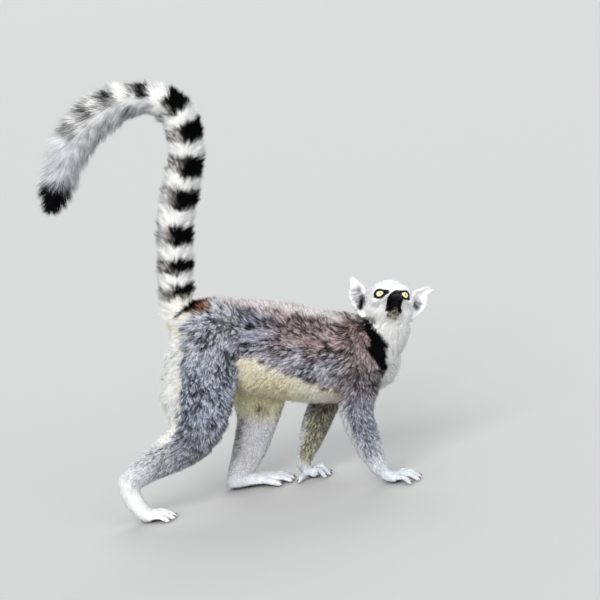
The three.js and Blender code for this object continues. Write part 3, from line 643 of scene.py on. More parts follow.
def limb_colour(name, X, s, de, wi, n1, n2, n3):
    """s is the joint index, de the front (+) or rear (-), wi the left (+) or right (-) side of the section."""
    near = name[1] == "r"
    inner = wi if near else -wi
    if name[0] == "h":
        stops = [0, 1, 2, 3, 4, 5, 6, 7.4, 8.6] if near else [0, 0.6, 1.2, 2, 3, 4, 5, 6.4, 7.4]
        tones = [(216, 218, 229), (197, 201, 214), (174, 181, 200), (175, 183, 204), (168, 175, 195), (158, 161, 174), (162, 164, 174), (200, 202, 209), (232, 233, 237)]
    else:
        stops = [0, 1, 2, 3, 4, 5, 6, 7, 8] if near else [0, 0.8, 1.6, 2.4, 3.2, 4, 4.8, 5.6, 6.4]
        tones = [(146, 126, 123), (146, 128, 127), (144, 134, 136), (148, 143, 149), (154, 156, 169), (150, 154, 169), (158, 162, 176), (192, 196, 207), (226, 230, 238)]
    tones = np.array(tones, F32)
    if name == "leg_hl":
        tones[:2] = (168, 173, 191)
    c = np.stack([np.interp(s, stops, tones[:, k]) for k in range(3)], 1).astype(F32)
    c = mix(c, c * 0.86, ss(0.5, 0.75, n1) * 0.7)
    if name[0] == "h":
        e = inner + 0.25 * (n1 - 0.5) + 0.2 * (n3 - 0.5) - (0.0 if near else 0.12) - 0.25 * ss(5, 7, s)
        c = mix(c, (232, 222, 190) if near else (250, 240, 200), ss(0.0, 0.35, e))
        if not near:
            # a brown patch in the groin on the far thigh's inner side: partly the brown of the gland there, partly
            # painted shade
            dark = np.exp(-(((X[:, 0] + 84) / 11) ** 2) - ((X[:, 2] - 118) / 13) ** 2)
            c = mix(c, (150, 130, 106), dark * 0.5 * ss(0, 0.4, e))
            c = mix(c, (228, 229, 238), ss(3.0, 4.4, s) * ss(-0.3, 0.3, e) * 0.9)
            c = mix(c, (128, 127, 130), ss(3.4, 4.4, s) * ss(6.6, 5.6, s) * ss(-0.25, -0.75, de) * ss(0.75, 0.2, e) * 0.8)
        if not near:
            lim = np.interp(s, [0, 1.5, 2.5, 3.5, 4.5], [-0.42, -0.5, -0.68, -0.86, -1.0])
            c = mix(c, (238, 239, 236), ss(0.12, -0.12, de - lim + 0.30 * (n1 - 0.5)) * 0.25)
        c = mix(c, (196, 199, 205), ss(-0.55, -0.95, de) * ss(4.6, 5.6, s) * 0.6)
    else:
        e = inner + 0.25 * (n1 - 0.5) - 0.1
        # the inner side is cream; on the far foreleg it is a dark olive, painted shade
        c = mix(c, (232, 224, 200) if near else (142, 137, 112), ss(0.15, 0.5, e) * (1.0 if near else 0.8))
        if not near:
            # painted shade: the far foreleg darker on its upper arm
            c = mix(c, c * 0.82, ss(4.5, 2.5, s))
        c = mix(c, (222, 224, 228), ss(-0.45, -0.9, de + 0.15 * (n1 - 0.5)) * ss(2.6, 4.4, s) * (0.85 if near else 0.5))
        if near:
            c = mix(c, (112, 92, 84), np.exp(-(((X[:, 0] - 34) / 12) ** 2) - ((X[:, 2] - 142) / 15) ** 2) * 0.7)
    return c


def tail_colour(s, de, wi, X, n1, n2, n3):
    """s is the joint index; de is +1 on the inner side of the curve, -1 on the outer side."""
    sw = s + (0.30 + 0.35 * ss(12, 14.5, s)) * (n3 - 0.5) + (0.12 + 0.25 * ss(12, 14.5, s)) * (n1 - 0.5)
    black = np.zeros(len(s), F32)
    for k, (a, b) in enumerate(RINGS):
        w = 0.13 if k < 7 else 0.22
        full = (1, 1, 1, 1, 1, 1, 1, 0.97, 0.88, 0.70, 0.30)[k]
        black = np.maximum(black, full * ss(a - w, a + w, sw) * ss(b + w, b - w, sw))
    white = mix(WHITE, (206, 206, 208), ss(0.4, 0.95, de) * 0.6)
    far = ss(16.5, 19.2, s)
    white = mix(white, (204, 206, 212), far * 0.8)
    white = mix(white, (176, 176, 182), ss(13, 15, s) * ss(18.5, 16.5, s) * ss(-0.1, 0.7, de + 0.5 * (n1 - 0.5)) * 0.6)
    f0 = np.interp(s, [1.2, 2.4, 8, 11, 13.5, 15.5, 18], [0.5, 0.06, 0.0, -0.08, -0.45, -0.62, -0.72])
    lean = de - f0 + 0.35 * (n1 - 0.5) + 0.45 * (n3 - 0.5)
    fade = mix((156, 147, 143), (222, 221, 221), ss(0.28, 0.72, lean))
    fade = mix(fade, (214, 216, 219), ss(11, 14.5, s) * 0.85)
    ring = mix(BLACK, fade, ss(0, 0.45, lean) * (0.86 + 0.12 * ss(10, 14, s)))
    c = mix(white, ring, black)
    tip = ss(20.1, 20.9, sw)
    c = mix(c, (14, 14, 17), tip)
    c = mix(c, (112, 84, 71), ss(0.9, 0.1, s) * 0.9 * ss(0.3, -0.3, de))
    return c


def to_segment(X, a, b):
    """Distance in the side view from the segment a, b, given as x, z."""
    p = X[:, [0, 2]] - np.array(a, F32)
    d = np.array(b, F32) - np.array(a, F32)
    t = np.clip(p @ d / (d @ d), 0, 1)
    return np.sqrt(((p - t[:, None] * d) ** 2).sum(1))


def root_marks(c, X, n1, n3):
    """Last black ring, brown patch and pale tuft where the tail leaves the body."""
    wob = 2.6 * (n3 - 0.5) + 2.2 * (n1 - 0.5)
    x, z = X[:, 0], X[:, 2]
    pale = ss(4, -4, to_segment(X, (-204, 281), (-178, 302)) - 17 + 2 * wob)
    pale = np.maximum(pale, ss(4, -4, to_segment(X, (-178, 302), (-150, 316)) - 6 + wob))
    c = mix(c, (243, 241, 233), pale)
    c = mix(c, (226, 216, 198), ss(284, 272, z + 8 * (n1 - 0.5)) * ss(-206, -198, x) * ss(-176, -184, x) * ss(262, 268, z) * 0.8)
    c = mix(c, (196, 160, 138), ss(3, -3, to_segment(X, (-155, 303), (-138, 303)) - 9 + wob) * 0.7)
    c = mix(c, (124, 82, 62), ss(3, -3, to_segment(X, (-154, 304), (-144, 304)) - 6 + wob))
    return mix(c, (10, 9, 10), ss(1.2, -1.2, to_segment(X, (-184, 294), (-143.5, 312)) - np.interp(x, [-184, -168, -150], [2.4, 4.4, 4.4]) + 0.6 * wob))


def study(X, N, want_uv=False):
    """Everything that the coat and the colours need to know at points of the skin."""
    n = len(X)
    K = len(NAMES)
    D = np.full((n, K), 1e3, F32)
    U = np.zeros((n, K), F32); V = np.zeros((n, K), F32)
    flow = np.zeros((n, 3), F32); coat = np.zeros(n, F32); rise = np.zeros(n, F32)
    colour = np.zeros((n, 3), F32); total = np.zeros(n, F32); ctotal = np.zeros(n, F32)
    dens = np.zeros(n, F32); thick = np.zeros(n, F32)
    n1, n2, n3 = vnoise(X, 8.5, 1), vnoise(X, 30, 2), vnoise(X, 3.2, 3)
    rear_white = ss(3.5, -3.5, X[:, 0] - rear_edge(X[:, 2]) + 7 * (n1 - 0.5) + 5 * (n3 - 0.5)) * ss(296, 286, X[:, 2]) * ss(104, 122, X[:, 2])
    seen = {}
    for name, part in [(a, b) for a, b, _ in PARTS] + [("ear_" + k, e) for k, e in ears.items()]:
        i = inside(part, X)
        if len(i) == 0:
            continue
        j = COL[name]
        x = X[i]
        if name.startswith("paw"):
            best = np.full(len(i), 1e3, F32)
            s = np.zeros(len(i), F32); de = np.zeros(len(i), F32); wi = np.zeros(len(i), F32); T = np.zeros((len(i), 3), F32)
            u = np.zeros(len(i), F32); v = np.zeros(len(i), F32); which = np.zeros(len(i), int)
            for m, t in enumerate([part.palm] + part.digits):
                d, sv, dv, wv = t.eval(x, True)
                up = d < best
                best[up] = d[up]; s[up] = sv[up]; de[up] = dv[up]; wi[up] = wv[up]; which[up] = m
                T[up] = t.at(t.T, sv[up])
                u[up] = (m + 0.04 + 0.92 * (np.arctan2(wv[up], dv[up]) / (2 * np.pi) + 0.5)) / 6
                v[up] = sv[up] / (len(t.P) - 1)
            D[i, j] = best; U[i, j] = u; V[i, j] = v
            seen[name] = (i, s, de, wi, T, which)
        elif name == "head":
            D[i, j] = part.eval(x)
            q = to_head(x)
            U[i, j] = np.arctan2(q[:, 1], q[:, 2]) / (2 * np.pi) + 0.5
            r = np.sqrt((q * q).sum(1)) + 1e-3
            V[i, j] = np.arccos(np.clip(-q[:, 0] / r, -1, 1)) / np.pi
            seen[name] = (i,)
        elif name.startswith("ear"):
            D[i, j] = part.eval(x)
            a, o, s = part.coords(x)
            w = part.width(a)
            front = o > 1.5 - 6.5 * np.clip(w / part.W, 0, 1) * (1 - np.clip(s / w, -1.3, 1.3) ** 2)
            U[i, j] = (np.clip(s / part.W, -1.2, 1.2) / 1.2 * 0.46 + 0.5) / 2 + 0.5 * front
            V[i, j] = np.clip((a + 13) / (part.L + 14), 0, 1)
            seen[name] = (i, a, o, s, front, w)
        else:
            d, s, de, wi = part.eval(x, True)
            D[i, j] = d
            U[i, j] = np.arctan2(wi, de) / (2 * np.pi) + 0.5
            V[i, j] = s / (len(part.P) - 1)
            seen[name] = (i, s, de, wi)
    low = D.min(1)
    W = np.exp(-np.minimum((D - low[:, None]) / 4.0, 30))
    WC = np.exp(-np.minimum((D - low[:, None]) / 2.2, 30))
    for name, got in seen.items():
        j = COL[name]
        i = got[0]
        keep = W[i, j] > 0.02
        if not keep.any():
            continue
        i = i[keep]
        rest = [g[keep] for g in got[1:]]
        x, m1, m2, m3 = X[i], n1[i], n2[i], n3[i]
        if name in ("spine", "neck"):
            s, de, wi = rest
            part = spine if name == "spine" else neck
            F = -part.at(part.T, s) + np.array([0, 0, -0.30]) * (1 - np.abs(de))[:, None]
            cd = part.at(part.coat, s)
            if name == "spine":
                c = body_colour(x, de, rear_white[i], m1, m2, m3)
                rs = 59 + 8 * (m2 - 0.5); dn = np.full(len(i), 1.38); th = np.full(len(i), 0.48)
                cd = cd * (1 - 0.15 * ss(-0.3, -0.8, de)) * (1 - 0.45 * ss(-162, -182, x[:, 0]))
            else:
                c = mix((150, 138, 138), (128, 124, 127), ss(0.3, 0.8, de))
                rs = np.full(len(i), 40.0); dn = np.full(len(i), 1.9); th = np.full(len(i), 0.42)
        elif name == "tail":
            s, de, wi = rest
            up = ss(0.9, 2.1, s / 2)[:, None]
            F = tail.at(tail.T, s) * up + np.array([-0.75, 0, -0.5]) * (1 - up) + np.array([0, 0, -0.12]) * ss(13, 16, s / 2)[:, None]
            cd = np.maximum(tail.at(tail.coat, s), 12 * ss(0.1, 0.6, s / 2) * ss(21.5, 20, s / 2)) * (1 + 0.35 * ss(13.5, 16, s / 2) * ss(0.3, -0.7, de) + 0.35 * ss(12.5, 15, s / 2) * ss(0.3, 0.9, de))
            c = tail_colour(s / 2, de, wi, x, m1, m2, m3)
            rs = 44 + 6 * ss(1, 4, s / 2) + 6 * (m2 - 0.5) - 12 * ss(14, 21, s / 2); dn = 2.3 + 0.4 * ss(2, 4, s / 2); th = np.full(len(i), 0.46)
        elif name.startswith("leg"):
            k = name[4:]
            s, de, wi = rest
            part = legs[k]
            F = part.at(part.T, s)
            back = np.array([-0.45, 0, 0]) if k[0] == "h" else np.array([-0.3, 0, 0])
            F = F + back * (ss(-0.2, -0.8, de) * ss(6, 3, s / 2))[:, None]
            cd = part.at(part.coat, s)
            c = limb_colour(k, x, s / 2, de, wi, m1, m2, m3)
            if k == "hr":
                c = mix(c, mix((238, 240, 237), (238, 230, 214), ss(0, 10, x[:, 0] - rear_edge(x[:, 2]) + 9) * 0.45), rear_white[i])
            rs = (57 if k[0] == "h" else 52) - 12 * ss(5, 8, s / 2) - 7 * ss(-0.5, -0.9, de) * ss(6.5, 4, s / 2); dn = 1.28 + 0.62 * ss(4, 7, s / 2); th = 0.46 - 0.08 * ss(4, 7, s / 2)
            if k[0] == "h":
                cd = cd * (1 + 0.45 * ss(-0.45, -0.85, de) * ss(4.2, 3.0, s / 2))
        elif name.startswith("paw"):
            s, de, wi, T, which = rest
            F = T + np.array([0, 0, -0.1])
            cd = np.where(which == 0, 1.7, 1.15)
            c = mix((250, 251, 252), (220, 220, 223), ss(0.45, 0.8, m1) * 0.45)
            if name[4] == "f":
                c = c * np.array((0.815, 0.832, 0.858), F32)
            elif name == "paw_hl":
                c = c * np.array((0.905, 0.918, 0.938), F32)
            c = mix(c, (196, 194, 196), np.where(which == 0, 0, ss(1.6, 5.2, s) * 0.35))
            c = mix(c, (78, 72, 72), ss(-0.35, -0.75, N[i, 2]) * ss(9, 5, x[:, 2]))
            rs = np.full(len(i), 17.0); dn = np.where(N[i, 2] < -0.45, 0, 2.1) * np.where((which > 0) & (s > 4.6), 0.4, 1); th = np.full(len(i), 0.30)
        elif name == "head":
            c, q = face_colour(x, m1, m3)
            back = ss(16, -6, q[:, 0])
            F = unit_rows(x - from_head(NOSE_TIP)) - HEAD_R[0] * 0.25
            F = F + HEAD_R[1] * (np.sign(q[:, 1]) * 0.22 * ss(6, 20, np.abs(q[:, 1])))[:, None] - HEAD_R[2] * (0.25 * ss(-2, -14, q[:, 2]))[:, None]
            cd = 1.5 + 4.4 * back + 1.8 * ss(6, 18, q[:, 2]) * ss(34, 22, q[:, 0])
            cd = cd - 0.85 * ss(26, 36, q[:, 0])
            rs = 21 + 16 * back + 10 * ss(10, 22, q[:, 2]); dn = 5.4 - 2.0 * back; th = 0.24 + 0.1 * back
            dn = dn * ss(49.5, 46, q[:, 0])
            for side, at in EYES.items():
                v = q - at.astype(F32)
                o, h, w = opening_axes(side)
                ring = np.sqrt((v @ h / LID_A) ** 2 + ((v @ w - 0.18 * (v @ h)) / LID_B) ** 2)
                close = (v @ o > 0) * ss(1.75, 1.2, ring)
                cd = cd * (1 - 0.72 * close)
                dn = np.where((v @ o > 0) & (ring < 1.2), 0, dn)
        else:
            a, o, s, front, w = rest
            e = ears[name[4:]]
            out = s / w
            F = e.t[None] * 1.0 + e.s[None] * (out * 0.55)[:, None] + e.o[None] * 0.10
            edge = ss(0.55, 0.95, np.abs(out))
            sr = s + np.interp(a, e.rows[:, 0], e.rows[:, 1])
            wob = 2.5 * (m3 - 0.5)
            if name == "ear_right":
                dark = np.clip(1.5 * np.exp(-(((a - 11.0 + wob) / 8.8) ** 4) - ((sr - 0.8 - 0.40 * (a - 11)) / 11.5) ** 4), 0, 1)
                grey = np.exp(-(((a - 22 + wob) / 15) ** 4) - ((sr + 8.0) / 9.5) ** 4) * 0.95
            else:
                dark = np.exp(-(((a - 10 + wob) / 4.5) ** 4) - ((sr - 2.5) / 7) ** 4) * 0.6
                grey = np.exp(-(((a - 13 + wob) / 9) ** 4) - ((sr - 1.5) / 8) ** 4) * 0.85
            c = np.tile(np.array((243, 242, 243), F32), (len(i), 1))
            fine = ss(0.3, 0.7, vnoise(np.stack([sr * 0.2, a, o * 0.2], 1).astype(F32), 1.7, 61))
            c = mix(c, (74, 70, 86), grey * front * (0.30 + 0.70 * fine))
            c = mix(c, (10, 9, 11), dark * front)
            tall = a / e.L
            cd = 1.3 + 0.9 * edge + 0.5 * ss(0.55, 0.8, tall)
            rs = np.where(front, 18, 22) + 14 * edge; dn = np.where(front, 1.6, 2.6) + 2.8 * edge; th = np.full(len(i), 0.26)
            dn = dn * (1 - 0.85 * dark * front)
        if name not in ("head", "tail") and not name.startswith(("paw", "ear")):
            z = x[:, 2]
            sg = (x[:, 0] - neck_gap_x(z)) * 0.95 + 5 * (m1 - 0.5) + 4 * (m3 - 0.5)
            half = neck_gap_half(z)
            if name.startswith("leg_f"):
                sg = sg - 30 * ss(172, 158, z)
            ok = ss(108, 122, z) if not name.startswith("leg_h") else 0 * z
            nape = ss(0.55, 0.85, rest[1]) if name == "neck" else 0 * z
            c = mix(c, (252, 252, 250), ss(half - 3, half + 1, sg) * ok * (1 - nape))
            # painted shade: a black band in the gap between neck and shoulder fur, partly dark skin there
            c = mix(c, (13, 13, 15), ss(half + 1.5, half - 1.5, np.abs(sg)) * ok * ss(150, 164, z) * ss(268, 254, z))
        if name in ("spine", "tail", "leg_hr", "leg_hl"):
            c = root_marks(c, x, m1, m3)
        w = W[i, j]
        wc = WC[i, j]
        F = unit_rows(F)
        flow[i] += F.astype(F32) * w[:, None]
        coat[i] += cd * w; rise[i] += rs * w; total[i] += w; dens[i] += dn * w; thick[i] += th * w
        colour[i] += c * wc[:, None]; ctotal[i] += wc
    total = np.maximum(total, 1e-6)
    out = dict(coat=coat / total, rise=rise / total, dens=dens / total, thick=thick / total, colour=colour / np.maximum(ctotal, 1e-6)[:, None])
    N = N.astype(F32)
    flow -= N * (flow * N).sum(1)[:, None]
    out["flow"] = unit_rows(flow)
    out["part"] = D.argmin(1)
    j = out["part"]
    out["u"], out["v"] = U[np.arange(n), j], V[np.arange(n), j]
    if want_uv:
        out["U"], out["V"] = U, V
    return out


def e_side(name):
    return 1.0 if name == "ear_right" else -1.0


def unit_rows(v):
    return v / np.maximum(np.sqrt((v * v).sum(1)), 1e-6)[:, None]


def study_chunks(X, N, want_uv=False, size=90000):
    parts = [study(X[i : i + size].astype(F32), N[i : i + size], want_uv) for i in range(0, len(X), size)]
    return {k: np.concatenate([p[k] for p in parts]) for k in parts[0]}


# ------------------------------------------------------------------ meshes
def metres(P):
    return ((np.asarray(P, float) - ORIGIN) / 1000).astype(F32)


def mesh_object(name, V, loops, sizes, uv=None, colour=None, normals=None, smooth=True):
    """An object from flat arrays: V in metres, loops of vertex indices, and the corner count of each face."""
    me = bpy.data.meshes.new(name)
    me.vertices.add(len(V))
    me.vertices.foreach_set("co", np.ascontiguousarray(V, F32).ravel())
    me.loops.add(len(loops))
    me.loops.foreach_set("vertex_index", np.ascontiguousarray(loops, np.int32))
    me.polygons.add(len(sizes))
    starts = np.concatenate([[0], np.cumsum(sizes)[:-1]]).astype(np.int32)
    me.polygons.foreach_set("loop_start", starts)
    me.update(calc_edges=True)
    me.validate(verbose=False)
    if smooth:
        me.polygons.foreach_set("use_smooth", np.ones(len(me.polygons), bool))
    if uv is not None:
        layer = me.uv_layers.new(name="OFBake")
        layer.data.foreach_set("uv", np.ascontiguousarray(np.clip(uv, 0.0005, 0.9995), F32).ravel())
    if colour is not None:
        put_colour(me, colour)
    if normals is not None:
        me.normals_split_custom_set_from_vertices(np.ascontiguousarray(normals, F32))
    ob = bpy.data.objects.new(name, me)
    bpy.context.scene.collection.objects.link(ob)
    return ob


def put_colour(me, colour, name="coat"):
    c = np.ones((len(colour), 4), F32)
    c[:, :3] = linear(colour)
    a = me.attributes.new(name, "FLOAT_COLOR", "POINT")
    a.data.foreach_set("color", c.ravel())


def layout(names):
    """A rectangle of the unit square for each named part: x, y, width, height."""
    size = {"spine": 5, "tail": 4, "neck": 2, "head": 4, "ear_right": 1, "ear_left": 1}
    want = [(n, size.get(n, 2 if n.startswith("leg") else 1.2)) for n in names]
    total = sum(w for _, w in want)
    rows, row, acc = [], [], 0
    nrows = max(1, round(math.sqrt(len(want) / 1.5)))
    for n, w in sorted(want, key=lambda t: -t[1]):
        row.append((n, w)); acc += w
        if acc >= total / nrows * 0.98:
            rows.append(row); row, acc = [], 0
    if row:
        rows.append(row)
    out, y = {}, 0.0
    for row in rows:
        hgt = sum(w for _, w in row) / total
        x = 0.0
        for n, w in row:
            wid = w / sum(v for _, v in row)
            out[n] = (x + 0.004, y + 0.004, wid - 0.008, hgt - 0.008)
            x += wid
        y += hgt
    return out


def place_uv(part_idx, u, v, lay):
    R = np.array([lay.get(n, (0, 0, 1, 1)) for n in NAMES])[part_idx]
    return np.stack([R[..., 0] + u * R[..., 2], R[..., 1] + v * R[..., 3]], -1)


# ------------------------------------------------------------------ the skin
def drop_specks(bm):
    """Only the body itself stays: specks and flaps left by the thinning go."""
    import bmesh
    bm.faces.ensure_lookup_table(); bm.faces.index_update()
    seen = np.zeros(len(bm.faces), np.int32); sizes = [0]
    for f in bm.faces:
        if seen[f.index]:
            continue
        stack, count = [f], 0
        seen[f.index] = len(sizes)
        while stack:
            g = stack.pop(); count += 1
            for e in g.edges:
                if len(e.link_faces) == 2:
                    for o in e.link_faces:
                        if not seen[o.index]:
                            seen[o.index] = len(sizes); stack.append(o)
        sizes.append(count)
    main_one = int(np.argmax(sizes))
    specks = [f for f in bm.faces if seen[f.index] != main_one]
    if specks:
        bmesh.ops.delete(bm, geom=specks, context="FACES")
    loose = [v for v in bm.verts if not v.link_faces]
    if loose:
        bmesh.ops.delete(bm, geom=loose, context="VERTS")


def build_skin():
    V, Q = surface(1.25, 5)
    me = bpy.data.meshes.new("raw")
    me.vertices.add(len(V)); me.vertices.foreach_set("co", V.ravel())
    me.loops.add(Q.size); me.loops.foreach_set("vertex_index", Q.ravel().astype(np.int32))
    me.polygons.add(len(Q)); me.polygons.foreach_set("loop_start", (np.arange(len(Q)) * 4).astype(np.int32))
    me.update(calc_edges=True)
    me.validate()
    ob = bpy.data.objects.new("raw", me)
    bpy.context.scene.collection.objects.link(ob)
    q = to_head(V)
    keep = ss(44, 30, np.sqrt((q * q).sum(1)) + np.where(q[:, 0] < -6, 6, 0))
    for k, e in ears.items():
        i = inside(e, V, 8)
        keep[i] = np.maximum(keep[i], ss(7, 4, e.eval(V[i])) * 0.8)
    for k, pw in paws.items():
        i = inside(pw, V, 8)
        keep[i] = np.maximum(keep[i], ss(9, 3, pw.eval(V[i])) * 0.75)
    group = ob.vertex_groups.new(name="thin")
    for lo in range(0, 11):
        i = np.flatnonzero(np.round((1 - keep) * 10) == lo)
        if len(i):
            group.add(i.tolist(), lo / 10, "REPLACE")
    mod = ob.modifiers.new("thin", "DECIMATE")
    mod.ratio = 0.30
    mod.vertex_group = "thin"
    mod.vertex_group_factor = 0.9
    dg = bpy.context.evaluated_depsgraph_get()
    new = bpy.data.meshes.new_from_object(ob.evaluated_get(dg))
    ob.modifiers.clear()
    ob.data = new
    me = ob.data
    import bmesh
    bm = bmesh.new(); bm.from_mesh(me)
    bmesh.ops.triangulate(bm, faces=bm.faces[:])
    # the face gets a finer mesh: eyes, nose and mouth
    for step in range(2):
        bm.verts.ensure_lookup_table()
        P = np.array([v.co for v in bm.verts])
        q = to_head(P)
        near = np.zeros(len(P), bool)
        for c in EYES.values():
            near |= (np.sqrt(((q - c) ** 2).sum(1)) < (15 if step == 0 else 12.5)) & (q[:, 0] > 14)
        near |= (q[:, 0] > (16 if step == 0 else 44)) & (q[:, 2] < 2) & (np.abs(q[:, 1]) < 22)
        sel = [e for e in bm.edges if near[e.verts[0].index] and near[e.verts[1].index] and e.calc_length() > (0.9 if step == 0 else 0.62)]
        bmesh.ops.subdivide_edges(bm, edges=sel, cuts=1, use_grid_fill=True)
        bmesh.ops.triangulate(bm, faces=[f for f in bm.faces if len(f.verts) > 3])
    drop_specks(bm)
    holes = [e for e in bm.edges if e.is_boundary]
    if holes:
        bmesh.ops.holes_fill(bm, edges=holes, sides=12)
        bmesh.ops.triangulate(bm, faces=[f for f in bm.faces if len(f.verts) > 3])
        drop_specks(bm)
    bmesh.ops.recalc_face_normals(bm, faces=bm.faces[:])
    bm.to_mesh(me); bm.free()
    n = len(me.vertices)
    V = np.empty(n * 3, F32); me.vertices.foreach_get("co", V); V = V.reshape(-1, 3)
    q = to_head(V)
    i = np.flatnonzero((np.abs(q) < 62).all(1))
    for _ in range(2):
        f0, G = gradient(V[i], 0.08)
        g2 = np.maximum((G * G).sum(1), 0.3)
        V[i] -= (np.clip(f0, -0.7, 0.7) / g2)[:, None] * G
    V[:, 2] = np.maximum(V[:, 2], 0.15)
    T = np.empty(len(me.polygons) * 3, np.int32); me.loops.foreach_get("vertex_index", T); T = T.reshape(-1, 3)
    bpy.data.objects.remove(ob)
    print("skin", n, "vertices", len(T), "triangles", flush=True)
    return V, T


def vertex_normals(V, T):
    a, b, c = V[T[:, 0]], V[T[:, 1]], V[T[:, 2]]
    fn = np.cross(b - a, c - a)
    N = np.zeros_like(V)
    for k in range(3):
        for ax in range(3):
            N[:, ax] += np.bincount(T[:, k], fn[:, ax], len(V))
    return unit_rows(N)


SKIN_V, SKIN_T = build_skin()
SKIN_N = vertex_normals(SKIN_V, SKIN_T)
info = study_chunks(SKIN_V, SKIN_N, want_uv=True)
# under long coat the skin is darker: partly the darker roots, partly painted shade under the coat; short coat and bare
# skin keep their own tone
under = 0.62 + 0.36 * np.maximum(ss(6, 1.5, info["coat"]), 0.8 * ss(200, 232, info["colour"].mean(1)))
skin_colour = info["colour"] * under[:, None]
face_part = info["part"][SKIN_T]
face_part = np.where(face_part[:, 1] == face_part[:, 2], face_part[:, 1], face_part[:, 0])
fu = info["U"][SKIN_T, face_part[:, None]]
fv = info["V"][SKIN_T, face_part[:, None]]
wrap = (fu.max(1) - fu.min(1)) > 0.5
fu[wrap] = np.where(fu[wrap] < 0.5, fu[wrap] + 1, fu[wrap])
fu[wrap] = np.clip(fu[wrap], None, 1.0)
skin_uv = place_uv(np.repeat(face_part[:, None], 3, 1), fu, fv, layout(NAMES)).reshape(-1, 2)


# ------------------------------------------------------------------ materials
def new_material(name):
    m = bpy.data.materials.new(name)
    m.use_nodes = True
    t = m.node_tree
    p = next(n for n in t.nodes if n.type == "BSDF_PRINCIPLED")
    return m, t, p


def coat_material(name, rough=0.72, bump=0.25, spread=0.16, scale=900.0, spec=0.25, subtle=1.0):
    """The coat's own colours from the mesh, broken up by streaks and grain."""
    m, t, p = new_material(name)
    L = t.links.new
    a = t.nodes.new("ShaderNodeAttribute"); a.attribute_name = "coat"
    tc = t.nodes.new("ShaderNodeTexCoord")
    n = t.nodes.new("ShaderNodeTexNoise"); n.inputs["Scale"].default_value = scale; n.inputs["Detail"].default_value = 3
    L(tc.outputs["Object"], n.inputs["Vector"])
    r = t.nodes.new("ShaderNodeMapRange")
    r.inputs["From Min"].default_value = 0.3; r.inputs["From Max"].default_value = 0.7
    r.inputs["To Min"].default_value = 1 - spread; r.inputs["To Max"].default_value = 1 + spread * 0.8
    L(n.outputs["Fac"], r.inputs["Value"])
    mul = t.nodes.new("ShaderNodeVectorMath"); mul.operation = "SCALE"
    L(a.outputs["Color"], mul.inputs[0]); L(r.outputs["Result"], mul.inputs["Scale"])
    L(mul.outputs["Vector"], p.inputs["Base Color"])
    p.inputs["Roughness"].default_value = rough
    p.inputs["Specular IOR Level"].default_value = spec
    b = t.nodes.new("ShaderNodeBump"); b.inputs["Strength"].default_value = bump; b.inputs["Distance"].default_value = 0.0006
    L(n.outputs["Fac"], b.inputs["Height"]); L(b.outputs["Normal"], p.inputs["Normal"])
    return m


M_SKIN = coat_material("short_coat", 0.46, 0.5, 0.14, 1300.0, 0.12)
M_COAT = {k: coat_material("coat_" + k, r, 0.0, s, sc, sp) for k, r, s, sc, sp in (
    ("trunk", 0.80, 0.42, 400.0, 0.03), ("throat", 0.85, 0.1, 700.0, 0.02), ("tail", 0.80, 0.12, 500.0, 0.02), ("head", 0.80, 0.08, 900.0, 0.03),
    ("ear", 0.85, 0.08, 900.0, 0.02), ("limb", 0.80, 0.36, 440.0, 0.03), ("paw", 0.80, 0.1, 900.0, 0.08))}

loops = SKIN_T.ravel()
skin = mesh_object("skin", metres(SKIN_V), loops, np.full(len(SKIN_T), 3), skin_uv, skin_colour)
skin.data.materials.append(M_SKIN)
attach(skin, "root")
FLESH = [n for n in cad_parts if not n.startswith("eye")]
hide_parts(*FLESH)


# ------------------------------------------------------------------ the coat
def sample_roots(total):
    a, b, c = (SKIN_V[SKIN_T[:, k]].astype(float) for k in range(3))
    area = 0.5 * np.linalg.norm(np.cross(b - a, c - a), axis=1)
    dens = info["dens"][SKIN_T].mean(1)
    w = area * np.maximum(dens, 0)
    total = int(min(total, w.sum()))
    order = np.argsort(face_part * 10 + 0.0, kind="stable")
    cum = np.cumsum(w[order]); cum /= cum[-1]
    pick = (np.arange(total) + RNG.random(total)) / total
    f = order[np.clip(np.searchsorted(cum, pick), 0, len(order) - 1)]
    r1, r2 = np.sqrt(RNG.random(total)), RNG.random(total)
    bary = np.stack([1 - r1, r1 * (1 - r2), r1 * r2], 1)
    P = (SKIN_V[SKIN_T[f]] * bary[:, :, None]).sum(1)
    N = unit_rows((SKIN_N[SKIN_T[f]] * bary[:, :, None]).sum(1))
    return P.astype(F32), N.astype(F32)


def streaks(X, flow, scale, reach, seed):
    """Noise drawn out along the lie of the coat, 0 to 1."""
    n = sum(vnoise((X + flow * F32(t * reach)).astype(F32), scale, seed) for t in (-1, -0.5, 0, 0.5, 1)) / 5
    return np.clip((n - 0.5) * 2.4 + 0.5, 0, 1)


def clumps(P, cell, seed, edge=False):
    """For each point, the nearest of a jittered grid's points, and that point's own random numbers."""
    base = np.floor(P / cell).astype(np.int64)
    best = np.full(len(P), 1e9, F32)
    second = np.full(len(P), 1e9, F32)
    at = np.zeros_like(P); rid = np.zeros(len(P), np.int64)
    for dx in (-1, 0, 1):
        for dy in (-1, 0, 1):
            for dz in (-1, 0, 1):
                c = base + np.array([dx, dy, dz])
                k = (c[:, 0] * 73856093) ^ (c[:, 1] * 19349663) ^ (c[:, 2] * 83492791) ^ seed
                j = np.stack([NOISE_TABLE[k & 65535], NOISE_TABLE[(k * 31 + 7) & 65535], NOISE_TABLE[(k * 57 + 11) & 65535]], 1)
                q = (c + j) * cell
                d = ((P - q) ** 2).sum(1)
                up = d < best
                second = np.where(up, best, np.minimum(second, d))
                best[up] = d[up]; at[up] = q[up]; rid[up] = k[up]
    if edge:
        return np.sqrt(second) - np.sqrt(best)
    R = np.stack([NOISE_TABLE[(rid * m + 3) & 65535] for m in (101, 211, 307, 401)], 1)
    return at.astype(F32), R


